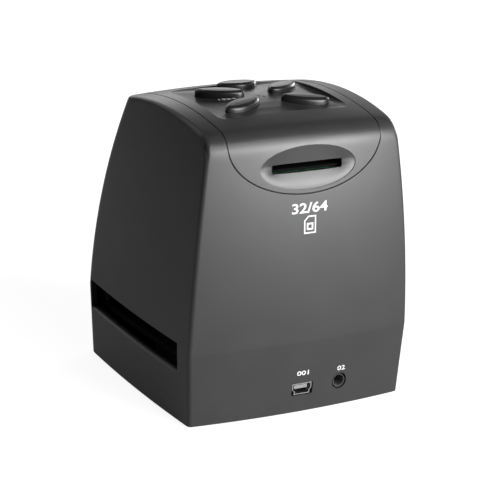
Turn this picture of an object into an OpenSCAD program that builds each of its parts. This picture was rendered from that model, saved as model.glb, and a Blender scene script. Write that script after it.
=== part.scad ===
// Film negative scanner: a small desktop case with a film-holder slot through its sides, a
// memory-card slot in its rear tongue, two ports, five keys on its domed top and a display in front.
// Frame: +Z up, +Y to the rear (card slot and ports), -Y to the front (display). The origin is in
// the middle of the footprint, on the surface that the feet stand on. All sizes are millimetres.

/* [Case] */
// Greatest width of the case, at the crease low on its walls
case_w = 88; // [85:0.5:92]
// Greatest depth of the case, front to rear
case_d = 88; // [85:0.5:92]
// Height from the resting surface to the crown of the top, before the key panel is sunk in it
case_h = 105.3; // [103:0.1:110]
// Thickness of the moulded walls
wall = 2.2; // [1.8:0.1:2.5]
// How far the feet stand proud of the underside
foot_proud = 0.8; // [0.5:0.1:1.2]
// Height of the soft crease where the walls begin to lean in
crease_z = 27; // [25:0.5:29]
// Plan radius of the two sharp rear corners
rear_corner = 1.4; // [1:0.1:3]
// Plan radius of the two soft front corners
front_corner = 5; // [4:0.5:6]
// Rounding between the rear face and the top
rear_ridge = 7; // [6:0.5:11]
// Rounding between the side faces and the top
side_ridge = 2; // [1.6:0.2:4]
// Rounding between the front face and the top
front_ridge = 7; // [5:0.5:10]

/* [Case curves] */
// Radius of the top along the depth
top_r = 130; // [105:1:150]
// Radius of the top across the width
top_cross_r = 480; // [300:5:500]
// Place of the crown along the depth
crown_y = 4.6; // [0:0.2:6]
// Radius of the upright curve of the side faces
side_r = 600; // [500:10:700]
// Lean of the side faces just above the crease, as rise over run
side_lean = 0.032; // [0.01:0.002:0.04]
// Radius of the upright curve of the rear face
rear_r = 600; // [560:10:900]
// Radius of the upright curve of the front face
front_r = 180; // [170:2:300]
// Lean of the front face just above the crease, as rise over run
front_lean = 0.03; // [0.02:0.005:0.06]
// Narrowing of the side faces below the crease, as rise over run
side_flare = 0.054; // [0.02:0.002:0.06]
// Narrowing of the front and rear faces below the crease, as rise over run
end_flare = 0.044; // [0.02:0.002:0.05]
// Plan radius of the rear face
rear_plan_r = 340; // [320:5:500]
// Plan radius of the side faces
side_plan_r = 640; // [500:10:700]
// Plan radius of the front face
front_plan_r = 650; // [650:5:900]
// Place of the widest point of the side faces along the depth
side_peak_y = 12; // [10:0.5:18]

/* [Top cover] */
// Half width of the cover strip and of its rear tongue
cover_half_w = 29.7; // [28.8:0.1:30.5]
// Depth below the crown at which the straight seams turn into the tongue's curve
tongue_top_drop = 8; // [7:0.1:8.1]
// Reach of the tongue's curve below that height
tongue_drop = 18; // [16.5:0.1:19]
// Depth below the crown of the seam between the cover and the front face
front_seam_drop = 8.2; // [8.2:0.1:9]
// Width of the seam round the cover
seam = 0.15; // [0.1:0.05:0.3]
// Half width of the shallow key panel
panel_half_w = 24.3; // [23.6:0.1:25.5]
// Rear edge of the key panel
panel_rear_y = 24; // [22:0.2:25]
// Front edge of the key panel
panel_front_y = -15.4; // [-19:0.2:-15]
// Depth of the key panel below the top
panel_depth = 0.4; // [0.2:0.1:0.6]

/* [Keys] */
// Distance of the four wing keys from the middle line
key_x = 12.4; // [12:0.1:13.5]
// Place of the pair of keys beside the lamps
key_pair_y = 0; // [0:0.1:1]
// Place of the rear pair of keys
key_rear_y = 16.4; // [15.8:0.1:17]
// Place of the front key
key_front_y = -10.4; // [-10.5:0.1:-9.4]
// Half length of the front key
key_front_half_l = 7.7; // [7:0.1:8]
// Half width of the front key
key_front_half_w = 5.2; // [4.6:0.1:5.4]
// Half length of the pair keys
key_pair_half_l = 8.6; // [8:0.1:8.8]
// Half width of the pair keys
key_pair_half_w = 3.8; // [3.4:0.1:4]
// Half length of the rear keys
key_rear_half_l = 8.3; // [7.6:0.1:8.6]
// Half width of the rear keys
key_rear_half_w = 3.5; // [3:0.1:3.8]
// Height of a key's crown above the top round it
key_rise = 1.9; // [1.2:0.1:2.4]
// Travel of a key
key_travel = 0.6; // [0.3:0.1:0.7]
// Clearance round a key in its hole
key_gap = 0.25; // [0.15:0.05:0.4]
// Width of the flange that keeps a key under the cover
key_flange = 1; // [0.6:0.1:1.2]
// Distance of the key board's top below the crown
key_board_drop = 9.5; // [9.5:0.1:10.5]

/* [Card slot] */
// Place of the card slot across the width
card_x = -0.4; // [-1:0.1:1]
// Depth of the middle of the card slot below the crown
card_drop = 17.2; // [16:0.2:17.6]
// Width of the card slot
card_slot_w = 27; // [25.5:0.1:27.5]
// Height of the card slot
card_slot_h = 3; // [2.6:0.1:3.1]
// Half width of the oval dish round the slot
dish_half_w = 18.6; // [17:0.1:20]
// Half height of the oval dish
dish_half_h = 7.5; // [6.8:0.1:8]
// Depth of the middle of the dish below the crown
dish_drop = 17.1; // [16.5:0.1:17.5]
// Depth of the dish at the slot
dish_depth = 1.2; // [0.9:0.1:1.6]
// Depth of the small step round the dish
dish_step = 0.25; // [0.15:0.05:0.4]

/* [Ports] */
// Place of the USB socket across the width
usb_x = -0.5; // [-2:0.5:1]
// Width of the USB socket's shell
usb_w = 7.7; // [7.5:0.1:8]
// Height of the USB socket's shell
usb_h = 3.95; // [3.8:0.05:4.1]
// Place of the video jack across the width
jack_x = -15.6; // [-17:0.2:-15]
// Radius of the video jack's bore, for a 3.5 mm plug
jack_bore_r = 1.8; // [1.76:0.01:1.85]
// Outer radius of the video jack's collar
jack_collar_r = 2.9; // [2.6:0.1:3.1]
// Thickness of every circuit board but the key board
board_t = 1.6; // [1.2:0.2:1.6]

/* [Film slot] */
// Length of side face left before and behind the slot, taken together
slot_margin = 16.5; // [14.5:0.5:18]
// Height of the slot
slot_h = 9.9; // [9:0.1:10.5]
// Height of the slot's lower edge
slot_z = 19.2; // [19:0.2:20]
// Place of the middle of the slot along the depth
slot_y = -2.4; // [-3:0.1:-2]
// Clear height between the two film guides
film_gap = 8.4; // [7:0.2:8.8]
// Thickness of the rails beside the film channel
rail_t = 3; // [2.4:0.1:3.4]
// Distance of the guides' ends from the outside of the case
guide_inset = 7.5; // [6:0.5:9]

/* [Optics] */
// Width of the picture gate
gate_w = 38; // [36:0.5:40]
// Depth of the picture gate
gate_d = 26; // [24:0.5:28]
// Radius of the lens barrel
barrel_r = 7; // [6:0.1:7.5]
// Height of the lens holder
holder_h = 16; // [15:0.5:18]
// Clear height between the sensor board and the main board
sensor_gap = 17.6; // [15:0.2:20]

/* [Display] */
// Width of the display window
display_w = 57.6; // [56:0.2:59]
// Height that the display window takes up, measured upright
display_rise = 42; // [40:0.5:43]
// Depth of the window's upper edge below the crown
display_drop = 10.3; // [9.6:0.2:12]
// Width of the clear view through the moulding
display_view_w = 50; // [48:0.5:52]
// Height of the clear view through the moulding
display_view_h = 38; // [35:0.5:39]

/* [Hidden] */
$fn = 48;

case_black = [0.20, 0.20, 0.21];
cover_black = [0.17, 0.17, 0.18];
key_black = [0.10, 0.10, 0.11];
guide_black = [0.08, 0.08, 0.08];
steel = [0.72, 0.73, 0.75];
gold = [0.85, 0.68, 0.30];
board_green = [0.10, 0.36, 0.20];
insulator = [0.12, 0.12, 0.13];
cable_tan = [0.80, 0.55, 0.25];

snug = 0.1;          // gap between parts that drop into one another
stack = 40;          // a length that is sure to pass through any wall
base_t = 2.2;        // thickness of the base plate
base_top = foot_proud + base_t;
screw_r = 1;         // shank radius of every case screw
screw_head_r = 1.9;
screw_head_h = 1.2;
small_screw_r = 0.8; // shank radius of every board screw
small_head_r = 1.5;
small_head_h = 0.9;

tongue_z = case_h - tongue_top_drop;
front_seam_z = case_h - front_seam_drop;
card_z = case_h - card_drop;
dish_z = case_h - dish_drop;
slot_len = case_d - slot_margin;
film_w = slot_len - 2 * rail_t - 5 * snug;     // clear width of the film channel

// ---------------------------------------------------------------- case surface

// How far a wall has come in at height z: a straight flare below the crease, an arc above it.
function inset(z, flare, lean, r) =
    z < crease_z ? (crease_z - z) * flare
                 : lean * (z - crease_z) + pow(z - crease_z, 2) / (2 * r);

// Places of the walls at height z, moved inwards by o.
function half_w(z, o) = case_w / 2 - o - inset(z, side_flare, side_lean, side_r);
function side_x(y, z, o) = half_w(z, o) - pow(y - side_peak_y, 2) / (2 * side_plan_r);
function rear_y(x, z, o) =
    case_d / 2 - o - inset(z, end_flare, 0, rear_r) - x * x / (2 * rear_plan_r);
function front_y(x, z, o) =
    -(case_d / 2 - o - inset(z, end_flare, front_lean, front_r)) + x * x / (2 * front_plan_r);

// The dome of the top, before its edges are rounded.
function dome_z(x, y, o) =
    case_h - o - pow(y - crown_y, 2) / (2 * top_r) - x * x / (2 * top_cross_r);

// Drop of a rounded edge of radius r at a distance from its wall.
function edge_drop(distance, r) = r * pow(max(0, 1 - sqrt(max(0, distance) / r)), 2);

rear_ridge_z = case_h - 13;   // height at which the rear wall starts to round over
side_ridge_z = case_h - 6;    // the same for the side walls
front_ridge_z = case_h - 13;  // the same for the front wall
least_ridge = 0.8;
function ridge(r, o) = max(r - o, least_ridge);

function top_z(x, y, o) =
    dome_z(x, y, o)
    - edge_drop(rear_y(x, rear_ridge_z, o) - y, ridge(rear_ridge, o))
    - edge_drop(y - front_y(x, front_ridge_z, o), ridge(front_ridge, o))
    - edge_drop(side_x(y, side_ridge_z, o) - abs(x), ridge(side_ridge, o));

function mix(a, b, t) = a + (b - a) * t;
function bezier(a, b, c, t) = mix(mix(a, b, t), mix(b, c, t), t);

function rear_corner_at(z, o) =
    let (x = side_x(rear_y(half_w(z, o), z, o), z, o)) [x, rear_y(x, z, o)];
function front_corner_at(z, o) =
    let (x = side_x(front_y(half_w(z, o), z, o), z, o)) [x, front_y(x, z, o)];

// Point of the plan outline at height z. k is the stretch, from the middle of the rear face
// (0 rear, 1 rear corner, 2 side, 3 front corner, 4 front), and t runs along it from 0 to 1.
function plan(k, t, z, o) =
    let (rc = max(rear_corner - o, least_ridge / 2), fc = max(front_corner - o, least_ridge),
         r = rear_corner_at(z, o), f = front_corner_at(z, o))
    k == 0 ? [(r.x - rc) * t, rear_y((r.x - rc) * t, z, o)]
    : k == 1 ? bezier([r.x - rc, rear_y(r.x - rc, z, o)], r, [side_x(r.y - rc, z, o), r.y - rc], t)
    : k == 2 ? let (y = mix(r.y - rc, f.y + fc, t)) [side_x(y, z, o), y]
    : k == 3 ? bezier([side_x(f.y + fc, z, o), f.y + fc], f, [f.x - fc, front_y(f.x - fc, z, o)], t)
    : [(f.x - fc) * (1 - t), front_y((f.x - fc) * (1 - t), z, o)];

stretch_steps = [6, 2, 8, 4, 4];
stations = concat(
    [for (k = [0:4]) for (i = [0:stretch_steps[k] - 1]) [k, i / stretch_steps[k]]], [[4, 1]]
);

// Height at which a station's wall gives way to the rounded edge, found in two steps.
function wall_top_z(s, o) =
    let (p = plan(s[0], s[1], side_ridge_z, o), z1 = top_z(p.x, p.y, o),
         q = plan(s[0], s[1], z1, o))
    top_z(q.x, q.y, o);

function station_ridge(s, o) =
    let (a = ridge(rear_ridge, o), b = ridge(side_ridge, o), c = ridge(front_ridge, o))
    s[0] == 0 ? a : s[0] == 1 ? mix(a, b, s[1]) : s[0] == 2 ? b : s[0] == 3 ? mix(b, c, s[1]) : c;

// A station's points from the foot of its wall to the crown: the wall, the rounded edge, the dome.
wall_steps = 5;
edge_steps = 4;
dome_steps = 4;
function column(s, o, z0) =
    let (zt = wall_top_z(s, o), p = plan(s[0], s[1], zt, o), c = [0, crown_y], r = station_ridge(s, o),
         reach = norm(c - p))
    concat(
        [concat(plan(s[0], s[1], z0, o), z0)],
        [for (i = [0:wall_steps]) let (z = mix(crease_z, zt, i / wall_steps))
            concat(plan(s[0], s[1], z, o), z)],
        [for (i = [1:edge_steps]) let (q = mix(p, c, r * pow(i / edge_steps, 2) / reach))
            [q.x, q.y, top_z(q.x, q.y, o)]],
        [for (i = [1:dome_steps - 1]) let (q = mix(mix(p, c, r / reach), c, i / dome_steps))
            [q.x, q.y, top_z(q.x, q.y, o)]]
    );

// The whole closed skin of the case, moved inwards by o, standing on height z0.
module skin(o, z0) {
    right = [for (s = stations) column(s, o, z0)];
    levels = len(right[0]);
    half = len(right);
    ring = 2 * half - 2;
    points = concat(
        [for (l = [0:levels - 1]) for (i = [0:ring - 1])
            i < half ? right[i][l] : let (p = right[ring - i][l]) [-p.x, p.y, p.z]],
        [[0, crown_y, dome_z(0, crown_y, o)]]
    );
    crown = len(points) - 1;
    sides = [for (l = [0:levels - 2]) for (i = [0:ring - 1]) let (j = (i + 1) % ring)
        [l * ring + i, l * ring + j, (l + 1) * ring + j, (l + 1) * ring + i]];
    cap = [for (i = [0:ring - 1]) [(levels - 1) * ring + i, (levels - 1) * ring + (i + 1) % ring, crown]];
    hull() polyhedron(points, concat(sides, cap, [[for (i = [ring - 1:-1:0]) i]]));
}

// Plan outline of the cavity at the underside, for what drops into it.
module floor_outline(o) {
    right = [for (s = stations) plan(s[0], s[1], foot_proud, o)];
    polygon(concat(right, [for (i = [len(right) - 2:-1:1]) [-right[i].x, right[i].y]]));
}

// Everything that belongs to the top cover, grown by g: a strip over the top and a tongue behind.
module cover_region(g) {
    deep = case_d / 2 + 1;
    difference() {
        translate([0, deep, 0]) rotate([90, 0, 0]) linear_extrude(2 * deep) {
            translate([-cover_half_w - g, tongue_z]) square([2 * (cover_half_w + g), case_h]);
            translate([0, tongue_z]) resize([2 * (cover_half_w + g), 2 * (tongue_drop + g)])
                circle(r = 1, $fn = 96);
        }
        translate([-case_w, -2 * deep, 0]) cube([2 * case_w, 2 * deep, front_seam_z - g]);
    }
}

// ---------------------------------------------------------------- places shared by the parts

guide_t = 2;                                   // thickness of each film guide's plate
guide_floor = slot_z + (slot_h - film_gap) / 2; // top of the lower film guide's floor
guide_bottom = guide_floor - guide_t;
guide_roof = guide_floor + film_gap;           // underside of the upper film guide
guide_top = guide_roof + guide_t;
guide_half_l = case_w / 2 - guide_inset;       // half length of the guides across the case
rail_y = [slot_y - (film_w + rail_t) / 2, slot_y + (film_w + rail_t) / 2];
post_x = guide_half_l - 4;                     // posts that carry the guides and the base plate
post_r = 2.6;
post_places = [for (x = [-post_x, post_x]) for (y = rail_y) [x, y]];

card_board_drop = 1.6;                         // card slot's middle above the main board
board_top = card_z - card_board_drop;
holder_w = 2 * barrel_r + 8;
holder_top = board_top - board_t - sensor_gap - board_t;
tunnel_top = holder_top - holder_h;
sensor_w = 9;
sensor_t = 1.2;

board_half_w = cover_half_w - 1.3;
board_rear_y = rear_y(board_half_w, board_top, wall) - 1.6;
board_front_y = key_front_y - 4.2;
cover_post_x = board_half_w - 2.8;
cover_post_y = [board_front_y + 3, board_rear_y - 4];
cover_post_r = 2.2;
cover_posts = [for (x = [-cover_post_x, cover_post_x]) for (y = cover_post_y) [x, y]];

key_board_t = 1.2;
key_board_top = case_h - key_board_drop;
key_board_half_w = cover_post_x - cover_post_r - 1;
key_board_y = [key_front_y - key_front_half_w - 2.5, key_rear_y + 7.3];
key_posts = [[-19, key_board_y[0] + 3], [19, key_board_y[0] + 3], [0, key_board_y[1] - 2.5]];
key_post_r = 1.8;
switch_w = 6;
switch_h = 2.5;
plunger_r = 1.7;
plunger_fit = 0.05;
key_flange_t = 1;
key_rest_gap = 0.3;                            // between a key's flange and the cover above it

// Keys as [x, y, half length, half width, turn]: one in front, a pair beside it, a pair behind.
pair_turn = 35;
rear_turn = 22;
key_places = [
    [0, key_front_y, key_front_half_l, key_front_half_w, 0],
    [-key_x, key_pair_y, key_pair_half_l, key_pair_half_w, pair_turn],
    [key_x, key_pair_y, key_pair_half_l, key_pair_half_w, -pair_turn],
    [-key_x, key_rear_y, key_rear_half_l, key_rear_half_w, -rear_turn],
    [key_x, key_rear_y, key_rear_half_l, key_rear_half_w, rear_turn]
];
lamp_y = key_pair_y + 7.6;
lamp_places = [[0.8, lamp_y - 0.6], [-0.8, lamp_y + 0.6]];
lamp_r = 0.6;

port_board_z = base_top + 2.7;                 // underside of the port board
port_board_top = port_board_z + board_t;
port_board_len = 17.5;
port_board_x = [jack_x - 8.4, usb_x + 22.5];
port_board_rear_y = rear_y(port_board_x[0], foot_proud, wall) - 0.6;
port_board_front_y = port_board_rear_y - port_board_len;
port_posts = [[port_board_x[0] + 3.5, port_board_front_y + 3],
              [port_board_x[1] - 8, port_board_front_y + 3], [usb_x + 10, port_board_rear_y - 4]];
usb_z = port_board_top + usb_h / 2;
usb_face_y = rear_y(usb_x, usb_z, 0) - 0.3;
usb_len = 9;
jack_z = port_board_top + 2.5;
jack_face_y = rear_y(jack_x, jack_z, 0) - 0.3;
jack_body_len = 11;
jack_body_w = 6.6;
jack_body_y = jack_face_y - wall - 0.6;        // rear end of the jack's square body

// Lower and upper edge of the display window
display_z = [case_h - display_drop - display_rise, case_h - display_drop];
display_tilt = atan((front_y(0, display_z[1], 0) - front_y(0, display_z[0], 0))
                    / (display_z[1] - display_z[0]));
display_h = (display_z[1] - display_z[0]) / cos(display_tilt);
display_view = [display_view_w, display_view_h];
window_t = 1.2;
window_seat = 1.5;                             // depth of the window's seat below the face
pad_t = 1.8;                                   // thickness of the moulding behind the seat
panel_t = 1.6;
frame_t = 3.6;
frame_size = [display_w + 1.4, display_h - 1];

// Children are drawn with x across, y up the front face and z out of it, from its lower edge.
module on_front() {
    translate([0, front_y(0, display_z[0], 0), display_z[0]]) rotate([90 - display_tilt, 0, 0]) children();
}

// A block centred in x and y, standing on z.
module block(size, z) {
    translate([-size[0] / 2, -size[1] / 2, z]) cube([size[0], size[1], size[2]]);
}

// A block with rounded upright edges.
module soft_block(size, r, z) {
    hull() for (x = [-1, 1]) for (y = [-1, 1])
        translate([x * (size[0] / 2 - r), y * (size[1] / 2 - r), z]) cylinder(r = r, h = size[2], $fn = 24);
}

// A pan-head screw pointing down, with the seat of its head at the origin.
module screw(r, head_r, head_h, length) {
    cylinder(r = head_r, h = head_h);
    translate([0, 0, -length]) cylinder(r = r, h = length + head_h / 2);
}

// Lens-shaped outline of a key, between a rhombus and an ellipse, grown by g.
key_power = 2 / 1.75;
function key_outline(k, g) = [for (i = [0:31]) let (a = i * 11.25, c = cos(a), s = sin(a))
    [(k[2] + g) * sign(c) * pow(abs(c), key_power), (k[3] + g) * sign(s) * pow(abs(s), key_power)]];
function turned(p, a) = [p.x * cos(a) - p.y * sin(a), p.x * sin(a) + p.y * cos(a)];
// Underside of a key, so that its flange's rim stays clear of the cover above it.
function key_bottom(k) =
    min([for (p = key_outline(k, key_flange)) let (w = turned(p, k[4])) dome_z(k[0] + w.x, k[1] + w.y, wall)])
    - key_rest_gap - key_flange_t;
module at_key(k) {
    translate([k[0], k[1], 0]) rotate([0, 0, k[4]]) children();
}

// ---------------------------------------------------------------- case

module film_slot() {
    translate([-case_w, slot_y - slot_len / 2, slot_z]) cube([2 * case_w, slot_len, slot_h]);
}

module body_posts() {
    intersection() {
        for (p = post_places) hull() {
            translate([p.x, p.y, base_top]) cylinder(r = post_r, h = guide_bottom - base_top, $fn = 24);
            translate([p.x + sign(p.x) * 8, p.y, base_top])
                cylinder(r = 0.9, h = guide_bottom - base_top, $fn = 16);
        }
        skin(wall / 2, 0);
    }
}

usb_cut = 0.35;      // clearance of the rear wall round the USB shell
module rear_cuts() {
    translate([usb_x, case_d / 2 - 4, usb_z]) rotate([-90, 0, 0])
        soft_block([usb_w + 2 * usb_cut, usb_h + 2 * usb_cut, stack], 0.6, -stack / 4);
    translate([jack_x, case_d / 2 - stack / 4, jack_z]) rotate([-90, 0, 0])
        cylinder(r = jack_collar_r + snug, h = stack);
}

module display_pad() {
    on_front() translate([0, display_h / 2, 0])
        soft_block([display_w + 6, display_h + 4, pad_t], 3, -window_seat - pad_t);
}
module display_seat() {
    on_front() translate([0, display_h / 2, 0]) {
        soft_block([display_w + 0.4, display_h + 0.4, 6], 2.5, -window_seat);
        soft_block([display_view[0], display_view[1], 12], 1, -10);
    }
}

module body_shell() {
    color(case_black) difference() {
        union() {
            difference() {
                skin(0, foot_proud);
                skin(wall, -1);
            }
            intersection() {
                display_pad();
                skin(wall / 2, 0);
            }
            body_posts();
        }
        cover_region(seam);
        film_slot();
        rear_cuts();
        display_seat();
        for (p = post_places) translate([p.x, p.y, -1]) cylinder(r = screw_r + 0.05, h = guide_bottom + 2);
    }
}

// The dish: an oval step in the rear face, then a shallow hollow that falls away towards the slot.
dish_face_y = rear_y(0, dish_z, 0);
dish_sides = 48;
dish_stages = [0, 0.35, 0.7, 1];               // how far each ring is on its way in to the slot
function dish_rim(a) = [card_x + dish_half_w * cos(a), dish_z + dish_half_h * sin(a)];
function dish_mouth(a) = let (c = cos(a), s = sin(a))
    [card_x + card_slot_w / 2 * sign(c) * pow(abs(c), 0.35), card_z + card_slot_h / 2 * sign(s) * pow(abs(s), 0.35)];
// Place of the rear surface at height z, where the rounding above the wall has drawn it in.
function rear_surface(x, z) =
    let (y = rear_y(x, rear_ridge_z, 0), below = max(0, dome_z(x, y, 0) - z))
    min(rear_y(x, z, 0), y - rear_ridge * pow(1 - sqrt(min(1, below / rear_ridge)), 2));
function dish_point(a, v) = let (p = mix(dish_rim(a), dish_mouth(a), v))
    [p.x, rear_surface(p.x, p.y) - mix(dish_step, dish_depth, pow(v, 1.4)), p.y];
module dish() {
    turn = 360 / dish_sides;
    n = dish_sides;
    points = concat(
        [for (i = [0:n - 1]) let (p = dish_rim(i * turn + 3)) [p.x, dish_face_y + 4, p.y]],
        [for (v = dish_stages) for (i = [0:n - 1]) dish_point(i * turn + 3, v)],
        [for (i = [0:n - 1]) let (p = dish_mouth(i * turn + 3)) [p.x, dish_face_y - dish_depth - 1, p.y]]
    );
    rings = len(dish_stages) + 2;
    sides = [for (l = [0:rings - 2]) for (i = [0:n - 1]) for (h = [0, 1]) let (j = (i + 1) % n)
        h == 0 ? [l * n + i, (l + 1) * n + j, l * n + j] : [l * n + i, (l + 1) * n + i, (l + 1) * n + j]];
    polyhedron(points, concat(sides, [[for (i = [0:n - 1]) i]], [[for (i = [n - 1:-1:0]) (rings - 1) * n + i]]));
}

// The thicker wall behind the dish, round the mouth of the card socket.
module dish_backing() {
    translate([card_x, dish_face_y, card_z]) rotate([90, 0, 0])
        resize([card_slot_w + 6, card_slot_h + 7, dish_depth + wall - 0.4]) cylinder(r = 1, h = 1, $fn = 48);
}

module cover_posts_body() {
    intersection() {
        union() {
            for (p = cover_posts) hull() {
                translate([p.x, p.y, board_top]) cylinder(r = cover_post_r, h = case_h - board_top, $fn = 24);
                translate([p.x, p.y, case_h - 6]) cylinder(r = cover_post_r + 0.8, h = 6, $fn = 24);
            }
            for (p = key_posts)
                translate([p.x, p.y, key_board_top]) cylinder(r = key_post_r, h = case_h - key_board_top);
        }
        skin(wall / 2, 0);
    }
}

module top_cover() {
    color(cover_black) difference() {
        union() {
            intersection() {
                difference() {
                    union() {
                        difference() {
                            skin(0, foot_proud);
                            skin(wall, -1);
                        }
                        intersection() {
                            dish_backing();
                            skin(wall / 2, 0);
                        }
                    }
                    translate([0, (panel_rear_y + panel_front_y) / 2, 0])
                        difference() {
                            soft_block([2 * panel_half_w, panel_rear_y - panel_front_y, case_h], 1.2, front_seam_z);
                            translate([0, -(panel_rear_y + panel_front_y) / 2, 0]) skin(panel_depth, 0);
                        }
                }
                cover_region(0);
            }
            cover_posts_body();
        }
        dish();
        translate([card_x, dish_face_y, card_z]) cube([card_slot_w, 2 * stack / 4, card_slot_h], center = true);
        for (k = key_places) at_key(k) translate([0, 0, key_board_top])
            linear_extrude(stack) polygon(key_outline(k, key_gap));
        for (l = lamp_places)
            translate([l.x, l.y, key_board_top]) cylinder(r = lamp_r + snug, h = stack, $fn = 24);
        for (p = cover_posts) translate([p.x, p.y, 0]) cylinder(r = small_screw_r + 0.05, h = board_top + 6);
        for (p = key_posts) translate([p.x, p.y, 0]) cylinder(r = small_screw_r + 0.05, h = key_board_top + 3.5);
    }
}

foot_r = 4.2;
foot_seat = 0.9;
foot_places = [for (x = [-1, 1]) for (y = [rail_y[0] + 9, rail_y[1] - 9]) [x * (post_x + 1), y]];

module base_plate() {
    color(case_black) difference() {
        union() {
            translate([0, 0, foot_proud]) linear_extrude(base_t) floor_outline(wall + 0.2);
            for (p = port_posts)
                translate([p.x, p.y, base_top]) cylinder(r = 2, h = port_board_z - base_top);
        }
        for (p = foot_places) translate([p.x, p.y, foot_proud - 1]) cylinder(r = foot_r + snug, h = foot_seat + 1);
        for (p = post_places) translate([p.x, p.y, 0]) {
            cylinder(r = screw_r + 0.2, h = stack);
            cylinder(r = screw_head_r + 0.2, h = foot_proud + screw_head_h);
        }
        for (p = port_posts) translate([p.x, p.y, base_top - 1]) cylinder(r = small_screw_r + 0.05, h = stack);
    }
}

module rubber_feet() {
    color([0.09, 0.09, 0.09]) for (p = foot_places) translate([p.x, p.y, 0])
        cylinder(r = foot_r, h = foot_proud + foot_seat);
}

module base_screws() {
    color(steel) for (p = post_places) translate([p.x, p.y, foot_proud + screw_head_h]) mirror([0, 0, 1])
        screw(screw_r, screw_head_r, screw_head_h - 0.2, 7);
}

// ---------------------------------------------------------------- display

module display_window() {
    color([0.03, 0.03, 0.04]) on_front() translate([0, display_h / 2, 0])
        soft_block([display_w, display_h, window_t], 2.3, -window_seat);
}

module display_panel() {
    color([0.06, 0.07, 0.10]) on_front() translate([0, display_h / 2, 0])
        block([display_view[0] + 3, display_view[1] + 2, panel_t], -window_seat - pad_t - panel_t);
}

module display_frame() {
    color(steel) on_front() translate([0, display_h / 2, 0]) difference() {
        block([frame_size[0], frame_size[1], frame_t], -window_seat - pad_t - frame_t);
        block([display_view[0] + 3 + 2 * snug, display_view[1] + 2 + 2 * snug, frame_t],
              -window_seat - pad_t - panel_t);
    }
}

// ---------------------------------------------------------------- keys

// Steps over a key's crown, each as [share of the outline, share of the rise].
key_steps = [[1, 0.3], [0.96, 0.62], [0.86, 0.83], [0.66, 0.95], [0.34, 1]];
function key_level(k, z, g) = [for (p = key_outline(k, g)) concat(p, z)];
module key(k) {
    points = concat(
        key_level(k, key_bottom(k), key_flange), key_level(k, key_bottom(k) + key_flange_t, key_flange),
        key_level(k, key_bottom(k) + key_flange_t, 0),
        [for (s = key_steps) for (p = key_outline(k, 0)) let (q = s[0] * p, w = turned(q, k[4]))
            [q.x, q.y, dome_z(k[0] + w.x, k[1] + w.y, 0) + key_rise * s[1]]],
        [[0, 0, key_bottom(k)], [0, 0, dome_z(k[0], k[1], 0) + key_rise * 1.01]]
    );
    n = len(key_outline(k, 0));
    last = len(key_steps) + 2;
    faces = concat(
        [for (l = [0:last - 1]) for (i = [0:n - 1]) let (a = l * n + i, b = l * n + (i + 1) % n)
            each [[a, a + n, b + n], [a, b + n, b]]],
        [for (i = [0:n - 1]) let (j = (i + 1) % n)
            each [[i, j, len(points) - 2], [last * n + j, last * n + i, len(points) - 1]]]
    );
    at_key(k) polyhedron(points, faces);
}
module key_front() { color(key_black) key(key_places[0]); }
module key_left() { color(key_black) key(key_places[1]); }
module key_right() { color(key_black) key(key_places[2]); }
module key_rear_left() { color(key_black) key(key_places[3]); }
module key_rear_right() { color(key_black) key(key_places[4]); }

plunger_depth = 1.5;
module plunger(k) {
    foot = key_board_top + switch_h - plunger_depth + key_travel + snug;
    color(insulator) translate([k[0], k[1], foot]) cylinder(r = plunger_r, h = key_bottom(k) - foot);
}
module plunger_front() { plunger(key_places[0]); }
module plunger_left() { plunger(key_places[1]); }
module plunger_right() { plunger(key_places[2]); }
module plunger_rear_left() { plunger(key_places[3]); }
module plunger_rear_right() { plunger(key_places[4]); }

module switch_bases() {
    color([0.5, 0.5, 0.52]) for (k = key_places) translate([k[0], k[1], key_board_top]) difference() {
        block([switch_w, switch_w, switch_h], 0);
        translate([0, 0, switch_h - plunger_depth]) cylinder(r = plunger_r + plunger_fit, h = switch_h);
    }
}

module key_board() {
    color(board_green) difference() {
        translate([-key_board_half_w, key_board_y[0], key_board_top - key_board_t])
            cube([2 * key_board_half_w, key_board_y[1] - key_board_y[0], key_board_t]);
        for (p = key_posts) translate([p.x, p.y, 0]) cylinder(r = small_screw_r + 0.2, h = case_h);
    }
}

module key_board_screws() {
    color(steel) for (p = key_posts) translate([p.x, p.y, key_board_top - key_board_t]) mirror([0, 0, 1])
        screw(small_screw_r, small_head_r, small_head_h, 4);
}

lamp_chip_h = 0.8;
module lamp_chips() {
    color([0.9, 0.9, 0.8]) for (l = lamp_places) translate([l.x, l.y, 0])
        block([1, 0.8, lamp_chip_h], key_board_top);
}

module lamp_pipes() {
    color([0.85, 0.9, 0.95]) for (l = lamp_places) translate([l.x, l.y, key_board_top + lamp_chip_h])
        cylinder(r = lamp_r, h = dome_z(l.x, l.y, panel_depth) - key_board_top - lamp_chip_h - snug);
}

// ---------------------------------------------------------------- main board and card socket

module main_board() {
    color(board_green) difference() {
        translate([-board_half_w, board_front_y, board_top - board_t])
            cube([2 * board_half_w, board_rear_y - board_front_y, board_t]);
        for (p = cover_posts) translate([p.x, p.y, 0]) cylinder(r = small_screw_r + 0.2, h = case_h);
    }
}

// Chips as [x, y, width, depth, height, side]: side 1 is the top of the board, -1 its underside.
chips = [[-6, -4, 12, 12, 1.2, 1], [9, -4, 8, 12, 1, 1], [-17, 12, 6, 5, 1.4, -1],
         [16, 14, 9, 9, 1, -1], [0, 20, 14, 14, 1.2, -1]];
module main_board_chips() {
    color([0.05, 0.05, 0.06]) for (c = chips) translate([c[0], c[1], 0])
        block([c[2], c[3], c[4]], c[5] > 0 ? board_top : board_top - board_t - c[4]);
}

module main_board_screws() {
    color(steel) for (p = cover_posts) translate([p.x, p.y, board_top - board_t]) mirror([0, 0, 1])
        screw(small_screw_r, small_head_r, small_head_h, 6);
}

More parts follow.
